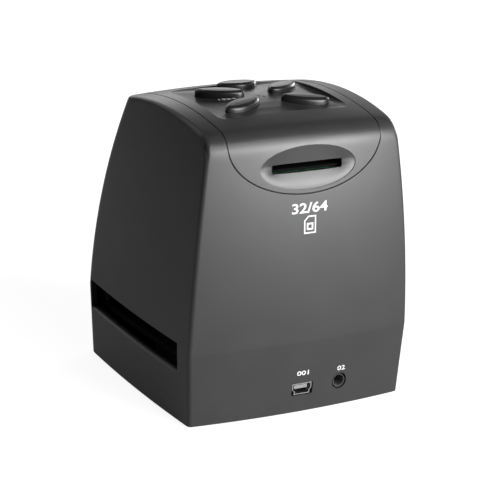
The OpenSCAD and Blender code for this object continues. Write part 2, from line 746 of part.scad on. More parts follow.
card_w = 24.4;                                  // width of the card's own channel
card_lane = 2.3;                                // lane of the slider beside the card
socket_wall = 1;
socket_floor = 0.9;
socket_len = 27;
socket_mouth_y = dish_face_y - dish_depth - wall;
socket_x = [card_x - card_w / 2 - card_lane - socket_wall, card_x + card_w / 2 + socket_wall];
socket_h = 3.1;
cover_sheet = 0.25;
slider_travel = 2.6;
slider_len = 8;
slider_w = card_lane - 2 * snug;
slider_y = socket_mouth_y - 13;                 // rear end of the slider at rest
slider_h = 1.5;
spring_seat_y = socket_mouth_y - socket_len + socket_wall;
spring_r = 0.5;
spring_wire = 0.2;
spring_hold = 1.5;                              // how far the spring reaches into the slider at rest

module card_socket_base() {
    color(insulator) translate([socket_x[0], socket_mouth_y - socket_len, board_top]) difference() {
        cube([socket_x[1] - socket_x[0], socket_len, socket_h - cover_sheet]);
        translate([socket_wall, socket_wall, socket_floor])
            cube([socket_x[1] - socket_x[0] - 2 * socket_wall, socket_len, socket_h]);
    }
}

module card_socket_cover() {
    color(steel) translate([socket_x[0] - cover_sheet, socket_mouth_y - socket_len, board_top]) difference() {
        cube([socket_x[1] - socket_x[0] + 2 * cover_sheet, socket_len - 1, socket_h]);
        translate([cover_sheet, -1, -1]) cube([socket_x[1] - socket_x[0], socket_len + 2, socket_h - cover_sheet + 1]);
    }
}

contact_count = 9;
contact_pitch = 2.5;
module card_contacts() {
    color(gold) for (i = [0:contact_count - 1])
        translate([card_x + (i - (contact_count - 1) / 2) * contact_pitch - 0.4,
                   socket_mouth_y - socket_len + socket_wall + 1, board_top + socket_floor])
            cube([0.8, 7, 0.2]);
}

module card_slider() {
    color([0.85, 0.85, 0.82]) translate([socket_x[0] + socket_wall + snug, slider_y - slider_len,
                                        board_top + socket_floor + snug]) difference() {
        union() {
            cube([slider_w, slider_len, slider_h]);
            cube([slider_w + 1.4, 1.2, slider_h]);
        }
        translate([slider_w / 2, -1, slider_h / 2]) rotate([-90, 0, 0])
            cylinder(r = spring_r + 0.06, h = 1 + spring_hold + slider_travel + 0.3);
    }
}

// The return spring stands on the socket's front wall and reaches into the slider's bore.
module card_spring() {
    color(steel) translate([socket_x[0] + socket_wall + card_lane / 2, spring_seat_y,
                            board_top + socket_floor + snug + slider_h / 2]) rotate([-90, 0, 0])
        difference() {
            cylinder(r = spring_r, h = slider_y - slider_len - spring_seat_y + spring_hold);
            translate([0, 0, -1]) cylinder(r = spring_r - spring_wire, h = stack);
        }
}

// ---------------------------------------------------------------- ports

module port_board() {
    color(board_green) difference() {
        translate([port_board_x[0], port_board_front_y, port_board_z])
            cube([port_board_x[1] - port_board_x[0], port_board_rear_y - port_board_front_y, board_t]);
        for (p = port_posts) translate([p.x, p.y, 0]) cylinder(r = small_screw_r + 0.2, h = stack);
    }
}

module port_board_screws() {
    color(steel) for (p = port_posts) translate([p.x, p.y, port_board_top])
        screw(small_screw_r, small_head_r, small_head_h, board_t + 3.5);
}

// Outline of the small USB socket: full width above, narrower below, shrunk by s.
usb_step = 0.75;
module usb_outline(s) {
    w = usb_w / 2 - s;
    h = usb_h / 2 - s;
    polygon([[-w, h], [-w, -0.1], [-w + usb_step, -0.9], [-w + usb_step, -h],
             [w - usb_step, -h], [w - usb_step, -0.9], [w, -0.1], [w, h]]);
}
usb_sheet = 0.3;
module usb_shell() {
    color(steel) translate([usb_x, usb_face_y, usb_z]) rotate([90, 0, 0]) difference() {
        linear_extrude(usb_len) usb_outline(0);
        translate([0, 0, -1]) linear_extrude(usb_len + 0.2) usb_outline(usb_sheet);
    }
}

usb_tongue_h = 1.3;
module usb_tongue() {
    color(insulator) translate([usb_x, usb_face_y, usb_z]) rotate([90, 0, 0]) {
        translate([0, 0, usb_len - 2.2]) linear_extrude(1.2) usb_outline(usb_sheet + 0.05);
        translate([-2.6, -0.2, 0.9]) cube([5.2, usb_tongue_h, usb_len - 2.5]);
    }
}

usb_pitch = 0.8;
module usb_contacts() {
    color(gold) for (i = [-2:2]) translate([usb_x + i * usb_pitch - 0.15, usb_face_y - usb_len + 2.4, usb_z - 0.35])
        cube([0.3, usb_len - 3.6, 0.15]);
}

module jack_body() {
    color(insulator) difference() {
        union() {
            translate([jack_x - jack_body_w / 2, jack_body_y - jack_body_len, port_board_top])
                cube([jack_body_w, jack_body_len, 5]);
            translate([jack_x, jack_face_y, jack_z]) rotate([90, 0, 0])
                cylinder(r = jack_collar_r, h = jack_face_y - jack_body_y + 0.2);
        }
        translate([jack_x, jack_face_y + 1, jack_z]) rotate([90, 0, 0])
            cylinder(r = jack_bore_r, h = jack_face_y - jack_body_y + jack_body_len);
    }
}

module jack_contacts() {
    color(gold) for (side = [-1, 1])
        translate([jack_x + side * (jack_body_w / 2 + 0.15) - 0.15, jack_body_y - jack_body_len + 2, port_board_top])
            cube([0.3, 5, 3.4]);
}

// ---------------------------------------------------------------- backlight and film guides

light_box = [gate_w + 10, gate_d + 10];
diffuser_t = 1.5;
diffuser_z = guide_bottom - diffuser_t;
light_box_wall = 2;
light_board_z = base_top + 1.4;

module at_gate() {
    translate([0, slot_y, 0]) children();
}

module backlight_housing() {
    color([0.92, 0.92, 0.90]) at_gate() difference() {
        block([light_box[0], light_box[1], diffuser_z - base_top], base_top);
        block([light_box[0] - 2 * light_box_wall, light_box[1] - 2 * light_box_wall, stack], light_board_z);
    }
}

module backlight_board() {
    color([0.9, 0.9, 0.88]) at_gate()
        block([light_box[0] - 2 * light_box_wall - 0.4, light_box[1] - 2 * light_box_wall - 0.4, board_t], light_board_z);
}

module backlight_lamps() {
    color([1, 0.95, 0.7]) at_gate() for (x = [-1.5:1:1.5]) for (y = [-1:1:1])
        translate([x * 9.5, y * 9, 0]) block([3.2, 2.8, 0.9], light_board_z + board_t);
}

module diffuser() {
    color([0.95, 0.95, 0.93]) at_gate() block([light_box[0] - 1, light_box[1] - 1, diffuser_t], diffuser_z);
}

detent_x = 18;
detent_pocket = 1.2;
module lower_film_guide() {
    color(guide_black) difference() {
        union() {
            at_gate() block([2 * guide_half_l, film_w + 2 * rail_t, guide_t], guide_bottom);
            for (y = rail_y) translate([0, y, 0]) block([2 * guide_half_l, rail_t, film_gap], guide_floor);
        }
        at_gate() block([gate_w, gate_d, stack], guide_bottom - 1);
        translate([-detent_x, rail_y[1] - rail_t / 2 - 1, guide_floor + 1])
            cube([2 * detent_x, detent_pocket + 1, film_gap - 2]);
        for (p = post_places) translate([p.x, p.y, 0]) cylinder(r = screw_r + 0.1, h = stack);
    }
}

module upper_film_guide() {
    color(guide_black) difference() {
        at_gate() block([2 * guide_half_l, film_w + 2 * rail_t, guide_t], guide_roof);
        at_gate() block([gate_w, gate_d, stack], guide_roof - 1);
        for (p = post_places) translate([p.x, p.y, 0]) cylinder(r = screw_r + 0.1, h = stack);
    }
}

module guide_screws() {
    color(steel) for (p = post_places) translate([p.x, p.y, guide_top])
        screw(screw_r, screw_head_r, screw_head_h, guide_top - guide_bottom + 6);
}

// A leaf spring in the rear rail, with a bump that clicks into a film holder's notches.
detent_reach = 0.9;
detent_t = 0.3;
module holder_detent_spring() {
    inner = rail_y[1] - rail_t / 2;
    back = inner + detent_pocket - detent_t;
    span = detent_x - 1;
    color(steel) translate([0, 0, guide_floor + 2]) linear_extrude(film_gap - 4) polygon([
        [-span, back + detent_t], [-span, back], [-6, back], [-1.2, inner - detent_reach],
        [1.2, inner - detent_reach], [6, back], [span, back], [span, back + detent_t],
        [5.8, back + detent_t], [1, inner - detent_reach + detent_t], [-1, inner - detent_reach + detent_t],
        [-5.8, back + detent_t]
    ]);
}

// ---------------------------------------------------------------- optics

tunnel_wall = 1.6;
tunnel_foot = [gate_w + 8, gate_d + 8];
barrel_fit = 0.05;
module light_tunnel() {
    color(guide_black) at_gate() difference() {
        hull() {
            block([tunnel_foot[0], tunnel_foot[1], 1], guide_top);
            block([holder_w, holder_w, 1], tunnel_top - 1);
        }
        hull() {
            block([tunnel_foot[0] - 2 * tunnel_wall, tunnel_foot[1] - 2 * tunnel_wall, 1], guide_top - 1);
            block([holder_w - 2 * tunnel_wall, holder_w - 2 * tunnel_wall, 1], tunnel_top - tunnel_wall - 1);
        }
        cylinder(r = barrel_r + 0.2, h = case_h);
    }
}

module lens_holder() {
    color(insulator) at_gate() difference() {
        block([holder_w, holder_w, holder_h], tunnel_top);
        cylinder(r = barrel_r + barrel_fit, h = case_h);
        for (p = sensor_screw_places) translate([p.x, p.y, holder_top - 5]) cylinder(r = small_screw_r + 0.05, h = stack);
    }
}

barrel_len = 16;
barrel_top = holder_top - 4;
barrel_bore = barrel_r - 2;
module lens_barrel() {
    color([0.15, 0.15, 0.15]) at_gate() translate([0, 0, barrel_top - barrel_len]) difference() {
        cylinder(r = barrel_r, h = barrel_len);
        translate([0, 0, -1]) cylinder(r = barrel_bore, h = barrel_len + 2);
    }
}

// Three glass elements, each a disc with two bowed faces.
element_heights = [2.5, 7.5, 12.5];
module lens_elements() {
    r = barrel_bore - 0.02;
    color([0.75, 0.85, 0.9]) at_gate() for (h = element_heights) translate([0, 0, barrel_top - barrel_len + h])
        rotate_extrude() polygon(concat(
            [[0, -1.3]], [for (i = [1:6]) [r * i / 6, -1.3 + 0.8 * pow(i / 6, 2)]],
            [for (i = [6:-1:1]) [r * i / 6, 1.3 - 0.8 * pow(i / 6, 2)]], [[0, 1.3]]));
}

sensor_board_w = holder_w + 4;
sensor_screw_places = [[holder_w / 2 - 1.8, holder_w / 2 - 1.8], [-holder_w / 2 + 1.8, -holder_w / 2 + 1.8]];
module sensor_board() {
    color(board_green) at_gate() difference() {
        block([sensor_board_w, sensor_board_w, board_t], holder_top);
        for (p = sensor_screw_places) translate([p.x, p.y, holder_top - 1]) cylinder(r = small_screw_r + 0.2, h = stack);
    }
}

module image_sensor() {
    color([0.2, 0.22, 0.3]) at_gate() block([sensor_w, sensor_w, sensor_t], holder_top - sensor_t);
}

module sensor_board_screws() {
    color(steel) at_gate() for (p = sensor_screw_places) translate([p.x, p.y, holder_top + board_t])
        screw(small_screw_r, small_head_r, small_head_h, board_t + 4);
}

// ---------------------------------------------------------------- flat cables

ribbon_t = 0.3;
sensor_cable_w = 12;
module sensor_cable() {
    color(cable_tan) translate([-sensor_cable_w / 2, slot_y + sensor_board_w / 2 - 3, holder_top + board_t])
        cube([sensor_cable_w, ribbon_t, sensor_gap]);
}

key_cable_w = 10;
module key_cable() {
    color(cable_tan) translate([-key_cable_w / 2, board_front_y + 1.2, board_top])
        cube([key_cable_w, ribbon_t, key_board_top - key_board_t - board_top]);
}

// Runs level from the main board to the back of the display frame.
display_cable_w = 14;
module display_cable() {
    z = board_top + ribbon_t / 2;
    back = front_y(0, display_z[0], 0) + (z - display_z[0]) * tan(display_tilt)
        + (window_seat + pad_t + frame_t) / cos(display_tilt);
    color(cable_tan) translate([-display_cable_w / 2, back + snug, board_top])
        cube([display_cable_w, board_front_y + 0.9 - back - snug, ribbon_t]);
}

port_cable_w = 7;
port_cable_x = port_board_x[1] - port_cable_w - 1;
port_cable_y = board_rear_y - 0.6;
module port_cable() {
    color(cable_tan) translate([port_cable_x, port_cable_y, port_board_top])
        cube([port_cable_w, ribbon_t, board_top - board_t - port_board_top]);
}

// ---------------------------------------------------------------- drawing

body_shell();
top_cover();
base_plate();
rubber_feet();
base_screws();
display_window();
display_panel();
display_frame();
key_front();
key_left();
key_right();
key_rear_left();
key_rear_right();
plunger_front();
plunger_left();
plunger_right();
plunger_rear_left();
plunger_rear_right();
switch_bases();
key_board();
key_board_screws();
lamp_chips();
lamp_pipes();
main_board();
main_board_chips();
main_board_screws();
card_socket_base();
card_socket_cover();
card_contacts();
card_slider();
card_spring();
port_board();
port_board_screws();
usb_shell();
usb_tongue();
usb_contacts();
jack_body();
jack_contacts();
backlight_housing();
backlight_board();
backlight_lamps();
diffuser();
lower_film_guide();
upper_film_guide();
guide_screws();
holder_detent_spring();
light_tunnel();
lens_holder();
lens_barrel();
lens_elements();
sensor_board();
image_sensor();
sensor_board_screws();
sensor_cable();
key_cable();
display_cable();
port_cable();
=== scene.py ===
"""Looks of the film negative scanner: smooth moulded case, top cover, keys, ports and printed marks
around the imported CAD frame. Lengths are in millimetres, unless a name ends in _M; settle() turns a
piece into metres. +Y is the rear (card slot and ports), -Y the front (display), +Z up."""

import math
from contextlib import contextmanager

import bmesh
import bpy
import numpy as np
from mathutils import Matrix


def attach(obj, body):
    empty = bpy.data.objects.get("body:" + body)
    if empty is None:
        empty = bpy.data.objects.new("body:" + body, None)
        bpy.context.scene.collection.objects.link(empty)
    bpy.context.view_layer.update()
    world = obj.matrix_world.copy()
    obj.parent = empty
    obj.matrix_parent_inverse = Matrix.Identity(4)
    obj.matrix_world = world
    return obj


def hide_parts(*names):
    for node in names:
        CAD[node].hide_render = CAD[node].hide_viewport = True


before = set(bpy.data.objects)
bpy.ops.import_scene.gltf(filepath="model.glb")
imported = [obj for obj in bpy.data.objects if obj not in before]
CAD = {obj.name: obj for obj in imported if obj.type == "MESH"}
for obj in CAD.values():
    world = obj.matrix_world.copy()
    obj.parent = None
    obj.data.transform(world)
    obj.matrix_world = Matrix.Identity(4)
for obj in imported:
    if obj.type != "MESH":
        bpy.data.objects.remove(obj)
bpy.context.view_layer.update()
SCENE = bpy.context.scene
MM = 0.001


def place(name, data):
    """A new object that shows some data, linked to the scene."""
    obj = bpy.data.objects.new(name, data)
    SCENE.collection.objects.link(obj)
    return obj


# ---------------------------------------------------------------- camera

CAMERA_AT = (354.64, 619.36, 277.52)
CAMERA_AZIMUTH, CAMERA_ELEVATION, CAMERA_ROLL = 150.04, 17.917, 2.364
CAMERA_LENS, SENSOR_WIDTH = 151.31, 36.0
CLIP_START_M, CLIP_END_M = 0.01, 50.0


def facing(azimuth, elevation, roll=0.0):
    """Back vector (sin a cos e, -cos a cos e, sin e) of a camera or lamp that looks at the object, and
    its rotation, in which right and up are turned by the roll. The angles are in degrees."""
    a, e, r = (math.radians(v) for v in (azimuth, elevation, roll))
    back = np.array([math.sin(a) * math.cos(e), -math.cos(a) * math.cos(e), math.sin(e)])
    right = np.cross(-back, [0, 0, 1])
    right /= np.linalg.norm(right)
    up = np.cross(right, -back)
    right, up = (math.cos(r) * right + math.sin(r) * up, -math.sin(r) * right + math.cos(r) * up)
    return back, Matrix(np.column_stack([right, up, back]).tolist()).to_4x4()


def place_camera():
    data = bpy.data.cameras.new("camera")
    data.lens, data.sensor_width = CAMERA_LENS, SENSOR_WIDTH
    data.clip_start, data.clip_end = CLIP_START_M, CLIP_END_M
    camera = place("camera", data)
    turn = facing(CAMERA_AZIMUTH, CAMERA_ELEVATION, CAMERA_ROLL)[1]
    camera.matrix_world = Matrix.Translation([v * MM for v in CAMERA_AT]) @ turn
    SCENE.camera = camera


place_camera()


# ---------------------------------------------------------------- case surface

CASE_W, CASE_D, CASE_H = 88.0, 88.0, 105.3
WALL, FOOT, CREASE = 2.2, 0.8, 27.0
REAR_CORNER, FRONT_CORNER = 1.4, 5.0
REAR_RIDGE, SIDE_RIDGE, FRONT_RIDGE = 7.0, 2.0, 7.0
TOP_R, TOP_CROSS_R, CROWN_Y = 130.0, 480.0, 4.6
SIDE_R, SIDE_LEAN, REAR_R, FRONT_R, FRONT_LEAN = 600.0, 0.032, 600.0, 180.0, 0.03
SIDE_FLARE, END_FLARE = 0.054, 0.044
REAR_PLAN_R, SIDE_PLAN_R, FRONT_PLAN_R, SIDE_PEAK_Y = 340.0, 640.0, 650.0, 12.0
LEAST = 0.8
END_RIDGE_Z, SIDE_RIDGE_Z = CASE_H - 13, CASE_H - 6
# soften(): width of the average and reach of its effect, as shares of the edge's radius.
EASE_WIDTH, EASE_REACH = 0.22, 0.8
# Rings of the wall: how far the last one below the crease keeps from it, where the first one above it
# lies (in steps), and the power that crowds them towards the top.
CREASE_GAP, CREASE_STEP, WALL_POWER = 0.5, 0.02, 1.7
# Points of the five stretches of half the plan, and rings of the wall, the edge and the dome.
FINE = {"steps": (30, 8, 36, 12, 28), "levels": (40, 16, 26)}
COARSE = {"steps": (12, 3, 14, 5, 12), "levels": (12, 6, 10)}


def inset(z, flare, lean, radius):
    """How far a wall has come in at height z: (CREASE - z) flare below the crease, and above it
    lean h + h h / (2 radius) with h = z - CREASE."""
    above = lean * (z - CREASE) + (z - CREASE) ** 2 / (2 * radius)
    return np.where(z < CREASE, (CREASE - z) * flare, above)


def half_w(z, o):
    """Half the width at height z, o inside the skin: CASE_W / 2 - o - inset."""
    return CASE_W / 2 - o - inset(z, SIDE_FLARE, SIDE_LEAN, SIDE_R)


def side_x(y, z, o):
    """The side wall's x: half_w less the plan's bow (y - SIDE_PEAK_Y)^2 / (2 SIDE_PLAN_R)."""
    return half_w(z, o) - (y - SIDE_PEAK_Y) ** 2 / (2 * SIDE_PLAN_R)


def rear_y(x, z, o):
    """The rear wall's y: CASE_D / 2 - o - inset - x x / (2 REAR_PLAN_R)."""
    return CASE_D / 2 - o - inset(z, END_FLARE, 0, REAR_R) - x * x / (2 * REAR_PLAN_R)


def front_y(x, z, o):
    """The front wall's y: -(CASE_D / 2 - o - inset) + x x / (2 FRONT_PLAN_R)."""
    return -(CASE_D / 2 - o - inset(z, END_FLARE, FRONT_LEAN, FRONT_R)) + x * x / (2 * FRONT_PLAN_R)


def dome_z(x, y, o):
    """The top before its edges are rounded, a shallow arc both ways:
    CASE_H - o - (y - CROWN_Y)^2 / (2 TOP_R) - x x / (2 TOP_CROSS_R)."""
    return CASE_H - o - (y - CROWN_Y) ** 2 / (2 * TOP_R) - x * x / (2 * TOP_CROSS_R)


def edge_drop(distance, r):
    """A parabolic edge round, r (1 - sqrt(distance / r))^2: r at the wall, none at r from it."""
    return r * np.maximum(0, 1 - np.sqrt(np.maximum(0, distance) / r)) ** 2


def top_z(x, y, o):
    """Height of the top: dome_z less the edge_drop of the rear, the front and the side."""
    rear, side, front = (max(r - o, LEAST) for r in (REAR_RIDGE, SIDE_RIDGE, FRONT_RIDGE))
    return (dome_z(x, y, o) - edge_drop(rear_y(x, END_RIDGE_Z, o) - y, rear)
            - edge_drop(y - front_y(x, END_RIDGE_Z, o), front)
            - edge_drop(side_x(y, SIDE_RIDGE_Z, o) - np.abs(x), side))


def mix(a, b, t):
    return a + (b - a) * t


def plan(k, t, z, o):
    """Point of the plan outline at height z: stretch k (0 rear, 1 rear corner, 2 side, 3 front corner,
    4 front) at t from 0 to 1 along it. A corner is the quadratic curve mix(mix(a, b), mix(b, c)) from
    one wall to the other, with b where the walls would meet."""
    rc, fc = max(REAR_CORNER - o, LEAST / 2), max(FRONT_CORNER - o, LEAST)
    w = half_w(z, o)
    rx = side_x(rear_y(w, z, o), z, o)
    ry = rear_y(rx, z, o)
    fx = side_x(front_y(w, z, o), z, o)
    fy = front_y(fx, z, o)

    def corner(a, b, c):
        return [mix(mix(a[i], b[i], t), mix(b[i], c[i], t), t) for i in (0, 1)]

    rear = [(rx - rc) * t, rear_y((rx - rc) * t, z, o)]
    rear_corner = corner((rx - rc, rear_y(rx - rc, z, o)), (rx, ry), (side_x(ry - rc, z, o), ry - rc))
    y = mix(ry - rc, fy + fc, t)
    side = [side_x(y, z, o), y]
    front_corner = corner((side_x(fy + fc, z, o), fy + fc), (fx, fy),
                          (fx - fc, front_y(fx - fc, z, o)))
    front = [(fx - fc) * (1 - t), front_y((fx - fc) * (1 - t), z, o)]
    parts = [rear, rear_corner, side, front_corner, front]
    return np.stack([np.select([k == i for i in range(len(parts))], [p[c] + 0 * k for p in parts])
                     for c in (0, 1)])


def soften(rings, join, ridge):
    """Eases the turn from the wall into the rounded edge. With s the length along a column from ring
    `join` and r the edge's radius, each point moves by exp(-(s / (EASE_REACH r))^2) of the way to its
    column's average, whose weights fall as exp(-(s / (EASE_WIDTH r))^2 / 2)."""
    step = np.linalg.norm(np.diff(rings, axis=0), axis=2)
    along = np.concatenate([np.zeros((1, step.shape[1])), np.cumsum(step, 0)])
    along -= along[join]
    cell = np.gradient(along, axis=0)
    apart = (along[:, None] - along[None]) / (EASE_WIDTH * ridge)
    weight = np.exp(-apart ** 2 / 2) * cell[None]
    weight /= weight.sum(1, keepdims=True)
    eased = np.einsum("ijs,jsc->isc", weight, rings)
    blend = np.exp(-(along / (EASE_REACH * ridge)) ** 2)[:, :, None]
    return rings + blend * (eased - rings)


def skin_rings(o, foot, steps, levels):
    """Rings of the case surface moved inwards by o, from height foot up to the crown: each station's
    column runs up the wall, over the rounded edge and across the dome to the crown."""
    k = np.concatenate([np.full(n, i) for i, n in enumerate(steps)] + [[4]])
    t = np.concatenate([np.arange(n) / n for n in steps] + [[1.0]])
    crown = np.array([0, CROWN_Y])[:, None]
    p = plan(k, t, np.full(k.shape, float(SIDE_RIDGE_Z)), o)
    z_top = top_z(p[0], p[1], o)
    for _ in range(4):  # the wall's top and its plan settle on each other
        p = plan(k, t, z_top, o)
        z_top = top_z(p[0], p[1], o)
    a, b, c = (max(r - o, LEAST) for r in (REAR_RIDGE, SIDE_RIDGE, FRONT_RIDGE))
    ridge = np.select([k == i for i in range(5)],
                      [a + 0 * t, mix(a, b, t), b + 0 * t, mix(b, c, t), c + 0 * t])
    reach = np.hypot(*(crown - p))
    rings = []
    for z in (foot, (foot + CREASE) / 2, CREASE - CREASE_GAP):
        q = plan(k, t, np.full(k.shape, float(z)), o)
        rings.append([q[0], q[1], z + 0 * t])
    wall_n, edge_n, dome_n = levels
    for i in (CREASE_STEP, *range(1, wall_n + 1)):
        z = mix(CREASE, z_top, 1 - (1 - i / wall_n) ** WALL_POWER)
        q = plan(k, t, z, o)
        rings.append([q[0], q[1], z])
    join = len(rings) - 1
    for i in range(1, edge_n + 1):
        q = mix(p, crown, ridge * (i / edge_n) ** 2 / reach)
        rings.append([q[0], q[1], top_z(q[0], q[1], o)])
    start = mix(p, crown, ridge / reach)
    for i in range(1, dome_n):
        q = mix(start, crown, i / dome_n)
        rings.append([q[0], q[1], top_z(q[0], q[1], o)])
    half = soften(np.array(rings).transpose(0, 2, 1), join, ridge)
    mirror = half[:, -2:0:-1] * [-1, 1, 1]
    return np.concatenate([half, mirror], axis=1)


# ---------------------------------------------------------------- making meshes

MADE_ANGLE, SETTLED_ANGLE, KEY_ANGLE = 40, 32, 50
NORMAL_WEIGHT = 80
# Distances in metres within which a settled mesh is merged and its needles are dissolved.
WELD_M, NEEDLE_M = 2e-6, 1e-6


@contextmanager
def edited(mesh):
    """Opens a mesh for bmesh work and writes it back."""
    b = bmesh.new()
    b.from_mesh(mesh)
    yield b
    b.to_mesh(mesh)
    b.free()


def face_outwards(obj):
    with edited(obj.data) as b:
        bmesh.ops.recalc_face_normals(b, faces=b.faces)


def shade(obj, angle):
    """Smooth faces, with sharp edges where they turn by more than an angle in degrees."""
    mesh = obj.data
    mesh.polygons.foreach_set("use_smooth", np.ones(len(mesh.polygons), bool))
    mesh.set_sharp_from_angle(angle=math.radians(angle))
    mesh.update()


def make_object(name, points, faces):
    """A closed mesh object from points in millimetres."""
    mesh = bpy.data.meshes.new(name)
    mesh.from_pydata(np.asarray(points, float).tolist(), [], [tuple(map(int, f)) for f in faces])
    mesh.validate()
    obj = place(name, mesh)
    shade(obj, MADE_ANGLE)
    face_outwards(obj)
    return obj


def ring_faces(levels, count, ends="closed"):
    """Quads between rings of `count` points each. The ends are "closed" with a flat face on the first
    and the last ring, "joined" to each other, or left "open"."""
    rows = levels if ends == "joined" else levels - 1
    l, i = np.meshgrid(np.arange(rows), np.arange(count), indexing="ij")
    j, up = (i + 1) % count, (l + 1) % levels
    quads = np.stack([l * count + i, l * count + j, up * count + j, up * count + i], -1)
    faces = quads.reshape(-1, 4).tolist()
    if ends == "closed":
        faces.append(list(range(count - 1, -1, -1)))
        faces.append(list(range((levels - 1) * count, levels * count)))
    return faces


def loft(name, rings, ends="closed"):
    """A closed solid through a stack of rings, shape (levels, points, 3)."""
    rings = np.asarray(rings, float)
    return make_object(name, rings.reshape(-1, 3), ring_faces(*rings.shape[:2], ends))


def skin(name, o, foot, detail):
    """The closed case surface moved inwards by o, with a fan of faces at the crown."""
    rings = skin_rings(o, foot, **detail)
    levels, count = rings.shape[:2]
    points = np.concatenate([rings.reshape(-1, 3), [[0, CROWN_Y, dome_z(0, CROWN_Y, o)]]])
    faces = ring_faces(levels, count, "open")
    faces.append(list(range(count - 1, -1, -1)))
    last = (levels - 1) * count
    faces += [(last + i, last + (i + 1) % count, len(points) - 1) for i in range(count)]
    return make_object(name, points, faces)


def combine(target, tool, operation):
    """Joins, cuts or crosses two closed solids, and removes the tool."""
    m = target.modifiers.new("combine", "BOOLEAN")
    m.operation, m.solver, m.object = operation, "MANIFOLD", tool
    bpy.context.view_layer.update()
    done = target.evaluated_get(bpy.context.evaluated_depsgraph_get())
    mesh = bpy.data.meshes.new_from_object(done)
    target.modifiers.clear()
    old = target.data
    target.data = mesh
    bpy.data.meshes.remove(old)
    bpy.data.meshes.remove(tool.data)


def cut(target, *tools):
    for tool in tools:
        combine(target, tool, "DIFFERENCE")


def add(target, tool):
    combine(target, tool, "UNION")


def keep(target, tool):
    combine(target, tool, "INTERSECT")


def copy_of(obj, name):
    new = obj.copy()
    new.data = obj.data.copy()
    new.name = name
    SCENE.collection.objects.link(new)
    return new


def settle(obj, body, materials, nodes=(), angle=SETTLED_ANGLE, weighted=True):
    """Finishes a piece: metres, shading, materials, the body that carries it, and the CAD nodes that
    it stands for, where it has them."""
    obj.data.transform(Matrix.Scale(MM, 4))
    with edited(obj.data) as b:
        bmesh.ops.remove_doubles(b, verts=b.verts, dist=WELD_M)
        bmesh.ops.dissolve_degenerate(b, edges=b.edges, dist=NEEDLE_M)
    shade(obj, angle)
    if weighted:
        w = obj.modifiers.new("weighted", "WEIGHTED_NORMAL")
        w.keep_sharp, w.weight = True, NORMAL_WEIGHT
    obj.data.materials.clear()
    for m in materials:
        obj.data.materials.append(m)
    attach(obj, body)
    if nodes:
        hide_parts(*nodes)


def round_rect(w, d, r, n=8):
    """Outline of a rectangle w by d with corners of radius r, n steps to a corner."""
    a = np.linspace(0, math.pi / 2, n + 1)
    out = []
    for i, (sx, sy) in enumerate([(1, 1), (-1, 1), (-1, -1), (1, -1)]):
        cx, cy = sx * (w / 2 - r), sy * (d / 2 - r)
        turn = a + i * math.pi / 2
        out.append(np.stack([cx + r * np.cos(turn), cy + r * np.sin(turn)], -1))
    return np.concatenate(out)


def finer(outline, step):
    """The same outline with its long sides divided into steps no longer than `step`."""
    ahead = np.roll(outline, -1, 0)
    counts = np.maximum(1, np.ceil(np.linalg.norm(ahead - outline, axis=1) / step)).astype(int)
    first = np.repeat(np.cumsum(counts) - counts, counts)
    share = (np.arange(counts.sum()) - first) / np.repeat(counts, counts)
    return mix(np.repeat(outline, counts, 0), np.repeat(ahead, counts, 0), share[:, None])


def circle(r, n=48):
    a = np.arange(n) * 2 * math.pi / n
    return np.stack([r * np.cos(a), r * np.sin(a)], -1)


def signed_power(v, power):
    """sign(v) |v|^power, for superellipses."""
    return np.sign(v) * np.abs(v) ** power


def upright(outline, z, at=(0, 0)):
    """Lifts a flat outline to height z and moves it to a place."""
    outline = np.asarray(outline, float) + np.asarray(at, float)
    return np.column_stack([outline, np.broadcast_to(z, len(outline))])


def lying(outline_xz, y):
    """Stands a flat outline up in the plane of the rear face, at depth y."""
    o = np.asarray(outline_xz, float)
    return np.column_stack([o[:, 0], np.broadcast_to(y, len(o)), o[:, 1]])


def prism(name, outline, z0, z1, at=(0, 0)):
    return loft(name, [upright(outline, z0, at), upright(outline, z1, at)])


def box_solid(name, low, high):
    (x0, x1), (y0, y1), (z0, z1) = zip(low, high)
    return prism(name, [(x0, y0), (x1, y0), (x1, y1), (x0, y1)], z0, z1)


# ---------------------------------------------------------------- materials

LAMINATE, TRACK = (0.012, 0.115, 0.045), (0.035, 0.24, 0.10)


def node_material(name):
    m = bpy.data.materials.new(name)
    m.use_nodes = True
    nodes, links = m.node_tree.nodes, m.node_tree.links
    at = nodes.new("ShaderNodeTexCoord").outputs["Object"]
    return m, nodes, links, nodes["Principled BSDF"], at


def noise(nodes, links, at, size, detail=2.0, stretch=None):
    """Noise whose blotches are about `size` millimetres across; stretch scales the three axes."""
    n = nodes.new("ShaderNodeTexNoise")
    n.inputs["Scale"].default_value = 1 / MM / size
    n.inputs["Detail"].default_value = detail
    if stretch:
        mapping = nodes.new("ShaderNodeMapping")
        mapping.inputs["Scale"].default_value = stretch
        links.new(at, mapping.inputs["Vector"])
        at = mapping.outputs["Vector"]
    links.new(at, n.inputs["Vector"])
    return n.outputs["Fac"]


def spread(nodes, links, value, low, high, start=0.3, stop=0.7):
    """Takes a value from the range start..stop to the range low..high."""
    r = nodes.new("ShaderNodeMapRange")
    for key, v in (("From Min", start), ("From Max", stop), ("To Min", low), ("To Max", high)):
        r.inputs[key].default_value = v
    links.new(value, r.inputs["Value"])
    return r.outputs["Result"]


def tint(nodes, links, value, dark, light):
    """A colour between dark and light, picked by a value from 0 to 1."""
    m = nodes.new("ShaderNodeMix")
    m.data_type = "RGBA"
    m.inputs["A"].default_value = (*dark, 1)
    m.inputs["B"].default_value = (*light, 1)
    links.new(value, m.inputs["Factor"])
    return m.outputs["Result"]


def bump(nodes, links, surface, height, depth):
    b = nodes.new("ShaderNodeBump")
    b.inputs["Distance"].default_value = depth * MM
    b.inputs["Strength"].default_value = 1.0
    links.new(height, b.inputs["Height"])
    links.new(b.outputs["Normal"], surface.inputs["Normal"])


